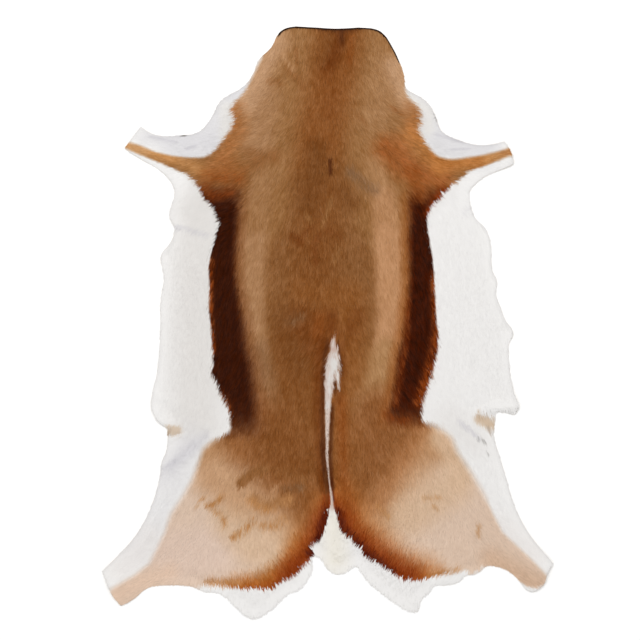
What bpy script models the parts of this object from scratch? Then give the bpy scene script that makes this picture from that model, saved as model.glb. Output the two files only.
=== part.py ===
"""An antelope hide tanned with its hair on, laid flat with the hair side up.

The hide is one closed solid. Its neck points along +Y, its underside lies on z = 0, and the origin is
below the middle of the rectangle that holds its rim. Every size in the tables is in millimetres:
"across" runs to the right of the middle line and "along" runs from the middle towards the neck.
"""

import math
from collections import namedtuple

import bmesh
import bpy
import numpy as np
from mathutils import Vector
from mathutils.geometry import delaunay_2d_cdt

MM = 0.001

COLLECTION = "antelope_hide"
NODE = "hide"

# How thick the leather is at the rim, how thick leather and lying hair are over most of the back, and
# how far in from the rim the coat reaches its full depth
BARE_RIM = 1.6
COAT = 5.5
COAT_TAPER = 26.0

# How finely the surface follows its folds: steps of the rim between two marks, spacing of the points
# over the middle and along the folds, and the share of that spacing at which points count as crowded
RIM_STEPS = 3
INNER_PITCH = 21.0
FOLD_PITCH = 9.0
CROWDING = 0.62

# The share of a pleat's gentle side that has a row of points, and of a furrow's length that it runs out in
GENTLE_ROW = 0.4
FURROW_END = 0.25

# The coat as it looks over most of the back
COAT_COLOUR = (0.352, 0.175, 0.069, 1.0)
COAT_ROUGHNESS = 0.82

# A ring is a row of points round the hide, so far in from the rim and at least so far apart. Where the
# rim bends, a point of it is kept while it has this share of the inset to every part of the rim.
Ring = namedtuple("Ring", "inset pitch")
RING_SHARE = 0.9
RINGS = (Ring(7.0, 9.0), Ring(15.0, 13.0), Ring(26.0, 17.0))

# A section across the neck or the flanks: how far along it lies, and where it meets the two rims.
Section = namedtuple("Section", "along left right")
NECK = (
    Section(541, -89, 100),
    Section(512, -105, 121),
    Section(487, -130, 133),
    Section(461, -139, 142),
    Section(436, -161, 146),
    Section(425, -180, 163),
    Section(410, -201, 185),
    Section(389, -212, 198),
    Section(367, -226, 206),
)
FLANKS = (
    Section(231, -286, 264),
    Section(214, -292, 267),
    Section(194, -294, 275),
    Section(175, -285, 294),
    Section(150, -292, 303),
    Section(123, -311, 305),
    Section(98, -307, 306),
    Section(76, -305, 316),
    Section(55, -309, 313),
    Section(26, -312, 323),
    Section(4, -311, 331),
    Section(-21, -312, 346),
    Section(-40, -312, 337),
    Section(-73, -315, 338),
    Section(-110, -321, 342),
    Section(-134, -327, 347),
    Section(-155, -329, 355),
)

# A mark is a point of the rim. A limb's front edge runs out to its tip and its back edge runs home.
Mark = namedtuple("Mark", "across along")
Limb = namedtuple("Limb", "front tip back")
LEFT_FORELEG = Limb(
    front=(Mark(-245, 352), Mark(-268, 349), Mark(-307, 347), Mark(-329, 352)),
    tip=(Mark(-348, 364), Mark(-378, 324)),
    back=(Mark(-355, 308), Mark(-333, 296), Mark(-311, 282), Mark(-294, 264), Mark(-286, 248)),
)
RIGHT_FORELEG = Limb(
    front=(Mark(211, 357), Mark(223, 348), Mark(238, 341), Mark(260, 334), Mark(284, 330), Mark(310, 332)),
    tip=(Mark(329, 337), Mark(341, 317), Mark(346, 295)),
    back=(Mark(330, 287), Mark(307, 278), Mark(288, 268), Mark(273, 255), Mark(265, 245)),
)
LEFT_HIND_LEG = Limb(
    front=(
        Mark(-301, -241),
        Mark(-309, -260),
        Mark(-312, -285),
        Mark(-318, -311),
        Mark(-327, -339),
        Mark(-340, -369),
        Mark(-359, -399),
        Mark(-383, -427),
    ),
    tip=(Mark(-420, -464), Mark(-400, -509), Mark(-385, -528)),
    back=(Mark(-360, -515), Mark(-343, -500), Mark(-326, -492), Mark(-305, -490), Mark(-273, -490)),
)
RIGHT_HIND_LEG = Limb(
    front=(
        Mark(316, -237),
        Mark(323, -259),
        Mark(334, -296),
        Mark(344, -332),
        Mark(357, -362),
        Mark(374, -392),
        Mark(396, -421),
    ),
    tip=(Mark(420, -449), Mark(408, -470), Mark(402, -488), Mark(378, -502)),
    back=(Mark(355, -479), Mark(333, -461), Mark(314, -455), Mark(297, -454), Mark(284, -464)),
)

# The cut across the neck, the tucks where a flank hangs over the groin, and the tufted rim of the rump.
NECK_CUT = (Mark(79, 548), Mark(16, 547), Mark(-37, 550), Mark(-70, 550))
LEFT_TUCK = (Mark(-322, -175), Mark(-311, -190), Mark(-298, -198), Mark(-298, -220))
RIGHT_TUCK = (Mark(349, -173), Mark(325, -166), Mark(314, -166), Mark(310, -196), Mark(309, -214))
LEFT_RUMP = (
    Mark(-253, -492),
    Mark(-230, -502),
    Mark(-201, -505),
    Mark(-169, -531),
    Mark(-141, -550),
    Mark(-122, -546),
    Mark(-85, -515),
    Mark(-70, -503),
    Mark(-57, -500),
    Mark(-40, -481),
    Mark(-29, -455),
)
TAIL = (
    Mark(-35, -444),
    Mark(-27, -434),
    Mark(-9, -442),
    Mark(4, -462),
    Mark(25, -468),
    Mark(47, -455),
    Mark(53, -452),
)
RIGHT_RUMP = (
    Mark(66, -468),
    Mark(75, -481),
    Mark(100, -503),
    Mark(126, -522),
    Mark(152, -537),
    Mark(169, -537),
    Mark(167, -526),
    Mark(189, -502),
    Mark(198, -490),
    Mark(221, -490),
    Mark(249, -481),
    Mark(256, -472),
    Mark(273, -470),
)
CORNERS = {
    Mark(-348, 364),
    Mark(-378, 324),
    Mark(-420, -464),
    Mark(-385, -528),
    Mark(-298, -198),
    Mark(-35, -444),
    Mark(53, -452),
    Mark(169, -537),
    Mark(420, -449),
    Mark(309, -214),
    Mark(314, -166),
    Mark(349, -173),
    Mark(346, 295),
    Mark(329, 337),
}

# A pleat is a fold that lifts leather and coat together. Its crest runs in from the rim, where it is
# highest, and it falls gently towards the neck and steeply towards the tail.
Pleat = namedtuple("Pleat", "across along inner_across inner_along rise gentle steep")
PLEATS = (
    Pleat(340, -160, 250, -158, 7.0, 62, 9),
    Pleat(-311, -184, -258, -202, 4.5, 46, 10),
    Pleat(-296, 188, -232, 176, 2.6, 30, 14),
)

# A furrow is a line along which the hair parts or lies lower, and the leather stays flat.
Furrow = namedtuple("Furrow", "across along end_across end_along depth width")
FURROWS = (
    Furrow(4, -20, 1, -300, 1.8, 15),
    Furrow(1, -300, 6, -420, 1.8, 15),
    Furrow(-303, 338, -247, 324, 1.4, 15),
    Furrow(273, 196, 228, 206, 1.2, 18),
)

# A curl is a stretch of rim that has dried upwards a little.
Curl = namedtuple("Curl", "across along reach rise")
CURLS = (
    Curl(-368, 345, 70, 7.0),
    Curl(345, 314, 66, 8.0),
    Curl(-406, -500, 78, 6.5),
    Curl(412, -476, 80, 7.5),
    Curl(-186, 432, 34, 3.0),
    Curl(212, 378, 36, 5.0),
    Curl(350, -20, 34, 3.0),
    Curl(-316, 122, 30, 2.4),
    Curl(-145, -556, 46, 3.5),
    Curl(172, -542, 44, 4.0),
)

# A patch is a place where the coat is thicker or thinner than on the back.
Patch = namedtuple("Patch", "across along reach change")
PATCHES = (
    Patch(-330, 335, 90, -2.4),
    Patch(305, 305, 90, -2.4),
    Patch(-385, -495, 110, -2.4),
    Patch(380, -470, 110, -2.4),
    Patch(-290, -222, 46, -2.6),
    Patch(300, -200, 50, -3.2),
    Patch(10, -445, 60, 0.8),
    Patch(-120, 320, 190, 0.8),
    Patch(130, 310, 190, 0.9),
    Patch(-262, 20, 170, 0.9),
    Patch(264, 10, 170, 0.8),
    Patch(-150, -360, 200, 1.0),
    Patch(165, -360, 200, 0.9),
    Patch(-10, 470, 150, -0.7),
)


def rim_marks():
    """The rim's marks in order, from the neck down the left side and back up the right."""
    down_left = [Mark(s.left, s.along) for s in NECK]
    down_left += [*LEFT_FORELEG.front, *LEFT_FORELEG.tip, *LEFT_FORELEG.back]
    down_left += [Mark(s.left, s.along) for s in FLANKS]
    down_left += [*LEFT_TUCK, *LEFT_HIND_LEG.front, *LEFT_HIND_LEG.tip, *LEFT_HIND_LEG.back]
    down_left += [*LEFT_RUMP, *TAIL]
    down_right = [Mark(s.right, s.along) for s in NECK]
    down_right += [*RIGHT_FORELEG.front, *RIGHT_FORELEG.tip, *RIGHT_FORELEG.back]
    down_right += [Mark(s.right, s.along) for s in FLANKS]
    down_right += [*RIGHT_TUCK, *RIGHT_HIND_LEG.front, *RIGHT_HIND_LEG.tip, *RIGHT_HIND_LEG.back]
    up_right = [*RIGHT_RUMP, *reversed(down_right)]
    return [*down_left, *up_right, *NECK_CUT]


def rim_loop(marks):
    """A smooth closed line through the marks, sharp at its corners, as an array of points in metres."""
    curve = bpy.data.curves.new("rim", "CURVE")
    curve.dimensions = "2D"
    curve.fill_mode = "NONE"
    curve.resolution_u = RIM_STEPS
    spline = curve.splines.new("BEZIER")
    spline.bezier_points.add(len(marks) - 1)
    spline.use_cyclic_u = True
    for point, mark in zip(spline.bezier_points, marks):
        point.co = (mark.across * MM, mark.along * MM, 0.0)
        handle = "VECTOR" if mark in CORNERS else "AUTO"
        point.handle_left_type = point.handle_right_type = handle
    guide = bpy.data.objects.new("rim", curve)
    bpy.context.scene.collection.objects.link(guide)
    bpy.context.view_layer.update()
    line = guide.evaluated_get(bpy.context.evaluated_depsgraph_get()).to_mesh()
    loop = np.array([v.co[:2] for v in line.vertices])
    bpy.data.objects.remove(guide)
    middle = 0.5 * (loop.min(axis=0) + loop.max(axis=0))
    return loop - middle


def distance_to_segments(points, starts, ends):
    """How far each point lies from the nearest of the segments."""
    run = ends - starts
    length_squared = np.maximum((run**2).sum(axis=1), 1e-12)
    offset = points[:, None, :] - starts[None, :, :]
    share = np.clip((offset * run).sum(axis=2) / length_squared, 0.0, 1.0)
    gap = offset - share[:, :, None] * run
    return np.sqrt((gap**2).sum(axis=2)).min(axis=1)


def rim_distance(points, loop):
    """How far each point lies from the rim."""
    return distance_to_segments(points, loop, np.roll(loop, -1, axis=0))


def inside(points, loop):
    """True for each point that lies within the rim, by counting the rim's crossings to its right."""
    x, y = points[:, 0:1], points[:, 1:2]
    x0, y0 = loop[:, 0], loop[:, 1]
    x1, y1 = np.roll(x0, -1), np.roll(y0, -1)
    straddles = (y0 > y) != (y1 > y)
    rise = np.where(y1 == y0, 1.0, y1 - y0)
    crossing = x0 + (y - y0) * (x1 - x0) / rise
    return (straddles & (x < crossing)).sum(axis=1) % 2 == 1


def smooth_step(value):
    """0 below 0 and 1 above 1, with an even slope between."""
    value = np.clip(value, 0.0, 1.0)
    return value * value * (3.0 - 2.0 * value)


def line_frame(points, across, along, end_across, end_along):
    """For a line, each point's share of the way along it and its signed distance to the line's left."""
    start = np.array((across, along)) * MM
    run = np.array((end_across, end_along)) * MM - start
    length = np.hypot(*run)
    offset = points - start
    share = offset @ run / length**2
    side = (run[0] * offset[:, 1] - run[1] * offset[:, 0]) / length
    return share, side


def leather_height(points):
    """How far the underside stands off the floor at each point."""
    height = np.zeros(len(points))
    for pleat in PLEATS:
        share, side = line_frame(points, *pleat[:4])
        towards_neck = side if pleat.inner_across > pleat.across else -side
        fall = np.where(towards_neck > 0, towards_neck / pleat.gentle, -towards_neck / pleat.steep) / MM
        height += pleat.rise * MM * smooth_step(1.0 - fall) * smooth_step(1.0 - share)
    for curl in CURLS:
        gap = np.hypot(points[:, 0] - curl.across * MM, points[:, 1] - curl.along * MM)
        height += curl.rise * MM * np.clip(1.0 - gap / (curl.reach * MM), 0.0, 1.0) ** 2
    return height


def pelt_thickness(points, loop):
    """Leather and lying hair together: thin at the rim and thickest over the back and belly."""
    depth = np.full(len(points), COAT)
    for patch in PATCHES:
        gap = np.hypot(points[:, 0] - patch.across * MM, points[:, 1] - patch.along * MM)
        depth += patch.change * smooth_step(1.0 - gap / (patch.reach * MM))
    for furrow in FURROWS:
        share, side = line_frame(points, *furrow[:4])
        beyond = np.maximum(np.maximum(-share, share - 1.0), 0.0)
        across_it = smooth_step(1.0 - np.abs(side) / (furrow.width * MM))
        depth -= furrow.depth * across_it * smooth_step(1.0 - beyond / FURROW_END)
    fullness = smooth_step(rim_distance(points, loop) / (COAT_TAPER * MM))
    return (BARE_RIM + (depth - BARE_RIM) * fullness) * MM


def along_line(across, along, end_across, end_along, shift):
    """Points every fold pitch along a line that is moved sideways by shift millimetres."""
    start, end = np.array((across, along)), np.array((end_across, end_along))
    run = end - start
    length = np.hypot(*run)
    sideways = np.array((-run[1], run[0])) / length * shift
    shares = np.linspace(0.0, 1.0, max(2, round(length / FOLD_PITCH)))
    return (start + sideways + shares[:, None] * run) * MM


def fold_points():
    """Rows of points on the crest and the foot of every pleat and on both banks of every furrow."""
    rows = []
    for pleat in PLEATS:
        to_tail = -1.0 if pleat.inner_across > pleat.across else 1.0
        for shift in (0.0, to_tail * pleat.steep, -to_tail * GENTLE_ROW * pleat.gentle):
            rows.append(along_line(*pleat[:4], shift))
    for furrow in FURROWS:
        for shift in (-furrow.width, 0.0, furrow.width):
            rows.append(along_line(*furrow[:4], shift))
    return np.vstack(rows)


def ring_points(loop, inset):
    """A row of points that follows the rim at a distance, while the coat is thickening."""
    ahead = np.roll(loop, -1, axis=0) - np.roll(loop, 1, axis=0)
    inward = np.stack((-ahead[:, 1], ahead[:, 0]), axis=1)
    inward /= np.hypot(*inward.T)[:, None]
    return loop + inward * inset * MM


def inner_points(loop):
    """Rows of points over the whole hide, each row half a pitch out of step with the last."""
    pitch = INNER_PITCH * MM
    low, high = loop.min(axis=0), loop.max(axis=0)
    rows = []
    for i, y in enumerate(np.arange(low[1], high[1], pitch * math.sqrt(0.75))):
        x = np.arange(low[0] + (i % 2) * pitch / 2, high[0], pitch)
        rows.append(np.stack((x, np.full(len(x), y)), axis=1))
    return np.vstack(rows)


def spread_out(kept, offered, gap):
    """kept, followed by each offered point that lies at least gap from every point before it."""
    kept = list(kept)
    for point in offered:
        if np.hypot(*(np.array(kept) - point).T).min() >= gap:
            kept.append(point)
    return np.array(kept)


def pelt_sheet(loop):
    """The leather as one layer of triangles, and how thick the pelt is over each of its points."""
    points = loop
    offers = [(fold_points(), FOLD_PITCH * CROWDING, RINGS[0].inset * CROWDING)]
    offers += [(ring_points(loop, ring.inset), ring.pitch, ring.inset * RING_SHARE) for ring in RINGS]
    offers += [(inner_points(loop), INNER_PITCH * CROWDING, RINGS[-1].inset + FOLD_PITCH)]
    for offered, gap, from_rim in offers:
        fits = inside(offered, loop) & (rim_distance(offered, loop) >= from_rim * MM)
        points = spread_out(points, offered[fits], gap * MM)
    rim_edges = [(i, (i + 1) % len(loop)) for i in range(len(loop))]
    flat, _, faces, *_ = delaunay_2d_cdt([Vector(p) for p in points], rim_edges, [], 1, 1e-7)
    places = np.array([tuple(p) for p in flat])
    heights = leather_height(places)
    mesh = bpy.data.meshes.new(NODE)
    mesh.from_pydata([(x, y, z) for (x, y), z in zip(places, heights)], [], faces)
    face_up(mesh)
    return mesh, pelt_thickness(places, loop)


def face_up(mesh):
    """Turns every triangle of the sheet so that it faces up."""
    work = bmesh.new()
    work.from_mesh(mesh)
    turned = [f for f in work.faces if f.normal.z < 0]
    bmesh.ops.reverse_faces(work, faces=turned)
    work.to_mesh(mesh)
    work.free()


def coat_material():
    """Short, close hair: matt, and the brown of the back."""
    material = bpy.data.materials.new("springbok_coat")
    material.use_nodes = True
    shader = material.node_tree.nodes["Principled BSDF"]
    shader.inputs["Base Color"].default_value = COAT_COLOUR
    shader.inputs["Roughness"].default_value = COAT_ROUGHNESS
    shader.inputs["Metallic"].default_value = 0.0
    return material


def build_hide(collection):
    """The hide: a layer of leather thickened upwards by the depth of its coat."""
    loop = rim_loop(rim_marks())
    mesh, thickness = pelt_sheet(loop)
    mesh.materials.append(coat_material())
    hide = bpy.data.objects.new(NODE, mesh)
    collection.objects.link(hide)
    depth = hide.vertex_groups.new(name="coat_depth")
    for i, value in enumerate(thickness / thickness.max()):
        depth.add([i], float(value), "REPLACE")
    coat = hide.modifiers.new("coat", "SOLIDIFY")
    coat.thickness = float(thickness.max())
    coat.offset = 1.0
    coat.vertex_group = depth.name
    return hide


def main():
    for thing in list(bpy.data.objects):
        bpy.data.objects.remove(thing)
    collection = bpy.data.collections.new(COLLECTION)
    bpy.context.scene.collection.children.link(collection)
    build_hide(collection)


main()
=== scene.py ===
"""Antelope hide: a whole springbok skin tanned with its hair on, laid flat with the hair side up.

The leather is one closed sheet on the rim and the folds of the CAD solid. The coat is a handful of joined
meshes of tapered locks of hair, rooted in the leather, combed along a field of strokes and coloured lock
by lock from the animal's markings. Lengths are in millimetres until a mesh is made, and then in metres.
"across" runs to the right of the middle line and "along" runs from the middle towards the neck.
"""
import logging
import math
from dataclasses import dataclass
from enum import Enum

import bpy
import numpy as np
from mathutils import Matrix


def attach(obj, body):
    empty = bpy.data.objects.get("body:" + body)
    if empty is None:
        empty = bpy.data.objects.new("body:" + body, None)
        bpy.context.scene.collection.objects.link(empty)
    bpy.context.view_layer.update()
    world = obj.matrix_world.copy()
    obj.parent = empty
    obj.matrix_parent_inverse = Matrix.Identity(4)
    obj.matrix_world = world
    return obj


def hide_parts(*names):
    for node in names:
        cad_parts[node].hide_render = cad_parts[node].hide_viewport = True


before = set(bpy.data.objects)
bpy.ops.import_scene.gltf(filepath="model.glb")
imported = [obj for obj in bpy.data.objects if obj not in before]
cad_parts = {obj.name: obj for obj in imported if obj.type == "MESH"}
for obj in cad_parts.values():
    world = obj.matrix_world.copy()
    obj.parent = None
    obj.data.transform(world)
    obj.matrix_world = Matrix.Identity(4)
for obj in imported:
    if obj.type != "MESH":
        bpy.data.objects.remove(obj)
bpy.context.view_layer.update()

MM = 0.001
SEED = 11

# The coat's colours are matched to the picture. Locks of hair lose some light to the shade between them, so
# what is painted on them is brighter by this much: brown hair stands looser and loses more than white.
BROWN_GAIN = 1.08
WHITE_GAIN = 0.95

# How the photograph lies on the hide: it is 640 x 640 pixels, one pixel shows this many millimetres, and
# the part's origin is at this column and row. Markings are read off it as columns and rows.
PICTURE_SIDE = 640
PIXEL = 1.8644
ORIGIN_COLUMN = 327.6
ORIGIN_ROW = 322.0

Array = np.ndarray
Spot = tuple[float, float]
Path2D = tuple[Spot, ...]

log = logging.getLogger("antelope_hide")


def table(kind: type, *rows: tuple) -> tuple:
    """A table's rows as objects of one kind, whose fields name the columns in their order."""
    return tuple(kind(*row) for row in rows)


def from_photo(spots: Path2D) -> Array:
    """Places on the hide that the photograph shows at these spots.

    Args:
        spots: columns and rows of the 640 x 640 photograph.

    Returns:
        One row for each spot: across and along.
    """
    column, row = np.asarray(spots, float).reshape(-1, 2).T
    return np.stack(((column - ORIGIN_COLUMN) * PIXEL, (ORIGIN_ROW - row) * PIXEL), axis=1)


def srgb(hex_colour: str) -> Array:
    """The red, green and blue of a hex colour, each from 0 to 1 and still in sRGB."""
    return np.array([int(hex_colour[i : i + 2], 16) / 255.0 for i in (1, 3, 5)])


def to_linear(colour: Array | str) -> Array:
    """Turns sRGB into linear light: a straight foot below 0.04045, and a power of 2.4 above it.

    Args:
        colour: a hex colour, or an array of sRGB values from 0 to 1.

    Returns:
        The linear values, in the same shape.
    """
    value = srgb(colour) if isinstance(colour, str) else np.asarray(colour, float)
    return np.where(value <= 0.04045, value / 12.92, ((np.maximum(value, 0.0) + 0.055) / 1.055) ** 2.4)


def smooth_step(value: Array) -> Array:
    """0 below 0 and 1 above 1, with an even slope between."""
    value = np.clip(value, 0.0, 1.0)
    return value * value * (3.0 - 2.0 * value)


def along_line(places: Array, start: Array, end: Array) -> tuple[Array, Array]:
    """Each place's share of the way along a line, and its signed distance to the line's left."""
    run = end - start
    length = np.hypot(*run)
    offset = places - start
    return offset @ run / length**2, (run[0] * offset[:, 1] - run[1] * offset[:, 0]) / length


def gap_to_path(places: Array, path: Array) -> Array:
    """How far each place lies from the nearest point of an open path of straight runs.

    Args:
        places: across and along of each place.
        path: the path's own places, in order.

    Returns:
        One distance for each place.
    """
    starts, runs = path[:-1], np.diff(path, axis=0)
    squared = np.maximum((runs**2).sum(axis=1), 1e-9)
    nearest = np.full(len(places), np.inf)
    for start, run, length_squared in zip(starts, runs, squared):
        offset = places - start
        share = np.clip(offset @ run / length_squared, 0.0, 1.0)
        gap = offset - share[:, None] * run
        nearest = np.minimum(nearest, (gap**2).sum(axis=1))
    return np.sqrt(nearest)


def depth_inside(places: Array, loop: Array) -> Array:
    """Signed distance to a closed loop: positive inside it and negative outside.

    A place is inside where a line to its right crosses the loop an odd number of times.

    Args:
        places: across and along of each place.
        loop: the loop's places in order, the last one joined to the first.

    Returns:
        One signed distance for each place.
    """
    closed = np.vstack((loop, loop[:1]))
    crossings = np.zeros(len(places), int)
    x, y = places.T
    for (x0, y0), (x1, y1) in zip(closed[:-1], closed[1:]):
        if y0 != y1:
            straddles = (y0 > y) != (y1 > y)
            crossings += straddles & (x < x0 + (y - y0) * (x1 - x0) / (y1 - y0))
    gap = gap_to_path(places, closed)
    return np.where(crossings % 2 == 1, gap, -gap)


@dataclass(frozen=True)
class Chart:
    """A square net over the hide on which a slowly varying field is worked out once and then looked up.

    Attributes:
        low: across and along of its first corner.
        columns: how many places it has across.
        rows: how many places it has along.
        pitch: the spacing of its places.
    """

    low: Spot
    columns: int
    rows: int
    pitch: float

    def places(self) -> Array:
        """Every place of the net, row after row."""
        x = self.low[0] + self.pitch * np.arange(self.columns)
        y = self.low[1] + self.pitch * np.arange(self.rows)
        return np.stack(np.meshgrid(x, y), axis=-1).reshape(-1, 2)

    def read(self, field: Array, places: Array) -> Array:
        """Looks a field up, as the mean of the net's four places around, weighted by nearness.

        Args:
            field: the field at each place of the net, with one or more values a place.
            places: where to look it up.

        Returns:
            The field's value or values at each place asked for.
        """
        values = field.reshape(self.rows, self.columns, -1)
        u = np.clip((places[:, 0] - self.low[0]) / self.pitch, 0, self.columns - 1.001)
        v = np.clip((places[:, 1] - self.low[1]) / self.pitch, 0, self.rows - 1.001)
        i, j = u.astype(int), v.astype(int)
        du, dv = (u - i)[:, None], (v - j)[:, None]
        lower = values[j, i] * (1 - du) + values[j, i + 1] * du
        upper = values[j + 1, i] * (1 - du) + values[j + 1, i + 1] * du
        found = lower * (1 - dv) + upper * dv
        return found[:, 0] if found.shape[1] == 1 else found


class Scatter:
    """Repeatable chance: tables of random numbers that are read by whole-number cells of the hide."""

    SIDE = 256
    # How much further on in the tables each octave of a mottle is read
    APART = 37.3

    def __init__(self, seed: int) -> None:
        """Fills the tables from a seed."""
        self.table = np.random.default_rng(seed).random((self.SIDE, self.SIDE, 4))

    def cell(self, i: Array, j: Array) -> Array:
        """Four random numbers from 0 to 1 for each cell."""
        return self.table[i % self.SIDE, j % self.SIDE]

    def mottle(self, places: Array, pitch: float, octaves: int = 3) -> Array:
        """Soft random patches from -1 to 1: random values at the corners of squares, eased between.

        Each further octave has squares half as wide and counts half as much.

        Args:
            places: across and along of each place.
            pitch: the width of the widest squares.
            octaves: how many sizes of square are added up.

        Returns:
            One value for each place.
        """
        total, weight, scale = np.zeros(len(places)), 0.0, 1.0
        for octave in range(octaves):
            at = places / (pitch * scale) + self.APART * (octave + 1)
            whole = np.floor(at).astype(int)
            ease = smooth_step(at - whole)
            i, j = whole.T
            k = octave % 4
            lower = self.cell(i, j)[:, k] * (1 - ease[:, 0]) + self.cell(i + 1, j)[:, k] * ease[:, 0]
            upper = self.cell(i, j + 1)[:, k] * (1 - ease[:, 0])
            upper += self.cell(i + 1, j + 1)[:, k] * ease[:, 0]
            total += scale * (lower * (1 - ease[:, 1]) + upper * ease[:, 1])
            weight += scale
            scale *= 0.5
        return 2.0 * total / weight - 1.0


class Rim:
    """The hide's outline, read from the lower edge of the CAD solid's wall.

    Attributes:
        loop: its places in order, from the middle of the neck cut down the left side.
    """

    def __init__(self, node: bpy.types.Object) -> None:
        """Reads the loop from a CAD node's mesh.

        The underside's triangles face down. An edge that only one of them has is part of the rim.
        """
        mesh = node.data
        mesh.calc_loop_triangles()
        places = np.zeros(len(mesh.vertices) * 3)
        mesh.vertices.foreach_get("co", places)
        places = places.reshape(-1, 3)
        corners = np.zeros(len(mesh.loop_triangles) * 3, int)
        mesh.loop_triangles.foreach_get("vertices", corners)
        known, same = np.unique(np.round(places / MM, 3), axis=0, return_inverse=True)
        faces = same.reshape(-1)[corners].reshape(-1, 3)
        a, b, c = (known[faces[:, k]] for k in range(3))
        normal = np.cross(b - a, c - a)
        under = faces[normal[:, 2] < -0.5 * np.linalg.norm(normal, axis=1)]
        edges = np.vstack((under[:, [0, 1]], under[:, [1, 2]], under[:, [2, 0]]))
        backwards = {(j, i) for i, j in edges.tolist()}
        follows = {j: i for i, j in edges.tolist() if (i, j) not in backwards}
        neck = known[list(follows)]
        start = list(follows)[int(np.argmax(neck[:, 1] - 0.5 * np.abs(neck[:, 0])))]
        order = [start]
        while follows[order[-1]] != start:
            order.append(follows[order[-1]])
        self.loop = known[order][:, :2]

    def nearest(self, spot: Spot) -> int:
        """The number of the loop's point nearest a place."""
        return int(np.argmin(np.hypot(*(self.loop - spot).T)))

    def walk(self, begin: Spot, end: Spot, count: int) -> Array:
        """Evenly spaced places on the rim from the loop's point nearest one place to that nearest another.

        Args:
            begin: across and along of a place near where the walk begins.
            end: a place near where it ends, further down the left side or further up the right.
            count: how many steps it takes.

        Returns:
            The places, without the last one.
        """
        first, last = self.nearest(begin), self.nearest(end)
        turn = (last - first) % len(self.loop)
        stretch = self.loop[(first + np.arange(turn + 1)) % len(self.loop)]
        way = np.concatenate(([0.0], np.cumsum(np.hypot(*np.diff(stretch, axis=0).T))))
        at = np.linspace(0.0, way[-1], count, endpoint=False)
        return np.stack([np.interp(at, way, stretch[:, k]) for k in range(2)], axis=1)


@dataclass(frozen=True)
class Pleat:
    """A fold that lifts leather and coat together: its crest's ends at the rim and further in, its rise at
    the rim, and how far it runs down gently towards the neck and steeply towards the tail.
    """

    rim: Spot
    inner: Spot
    rise: float
    gentle: float
    steep: float


@dataclass(frozen=True)
class Ridge:
    """A soft ridge: its start, its end, its rise, which is negative for a trough, and its width."""

    start: Spot
    end: Spot
    rise: float
    width: float

    def over(self, places: Array, ends: Array, ease: float) -> Array:
        """Its height at each place: its rise, eased off sideways over its width and beyond its ends.

        Args:
            places: across and along of each place.
            ends: across and along of its start and its end.
            ease: how far beyond its ends it runs out, as a share of its length.

        Returns:
            One height for each place.
        """
        share, side = along_line(places, *ends)
        beyond = np.maximum(np.maximum(-share, share - 1.0), 0.0)
        return self.rise * smooth_step(1.0 - np.abs(side) / self.width) * smooth_step(1.0 - beyond / ease)


@dataclass(frozen=True)
class Swell:
    """A round place that is raised, or with a negative rise lowered: its middle, its reach and its rise."""

    middle: Spot
    reach: float
    rise: float

    def left(self, places: Array) -> Array:
        """The share of its reach that is left at each place, 1 at its middle and below 0 outside it."""
        return 1.0 - np.hypot(*(places - np.array(self.middle)).T) / self.reach


PLEATS = table(Pleat,
    ((340, -160), (250, -158), 7.0, 62, 9), ((-311, -184), (-258, -202), 4.5, 46, 10),
    ((-296, 188), (-232, 176), 2.6, 30, 14),
)
# Lines along which the hair parts or lies lower
FURROWS = table(Ridge,
    ((4, -20), (1, -300), -1.8, 15), ((1, -300), (6, -420), -1.8, 15), ((-303, 338), (-247, 324), -1.4, 15),
    ((273, 196), (228, 206), -1.2, 18),
)
# Stretches of the rim that have dried upwards
CURLS = table(Swell,
    ((-368, 345), 70, 7.0), ((345, 314), 66, 8.0), ((-406, -500), 78, 6.5), ((412, -476), 80, 7.5),
    ((-186, 432), 34, 3.0), ((212, 378), 36, 5.0), ((350, -20), 34, 3.0), ((-316, 122), 30, 2.4),
    ((-145, -556), 46, 3.5), ((172, -542), 44, 4.0),
)
# Where the coat is thicker or thinner than on the back
PATCHES = table(Swell,
    ((-330, 335), 90, -2.4), ((305, 305), 90, -2.4), ((-385, -495), 110, -2.4), ((380, -470), 110, -2.4),
    ((-290, -222), 46, -2.6), ((300, -200), 50, -3.2), ((10, -445), 60, 0.8), ((-120, 320), 190, 0.8),
    ((130, 310), 190, 0.9), ((-262, 20), 170, 0.9), ((264, 10), 170, 0.8), ((-150, -360), 200, 1.0),
    ((165, -360), 200, 0.9), ((-10, 470), 150, -0.7),
)
# Fine creases of the belly and the legs, in the photograph's columns and rows. The solid is too coarse
# to show them.
WRINKLES = table(Ridge,
    ((207, 434), (188, 458), 1.6, 9), ((196, 437), (180, 462), -1.2, 8), ((172, 463), (163, 470), 1.4, 7),
    ((186, 432), (172, 437), 1.2, 7), ((437, 136), (462, 141), 1.3, 6), ((445, 143), (468, 148), -1.0, 6),
    ((170, 142), (185, 150), 1.2, 6), ((150, 137), (172, 143), 1.0, 6), ((459, 420), (478, 436), 1.4, 8),
    ((468, 418), (484, 430), -1.1, 7), ((466, 212), (481, 202), 1.2, 9),
)


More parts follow.
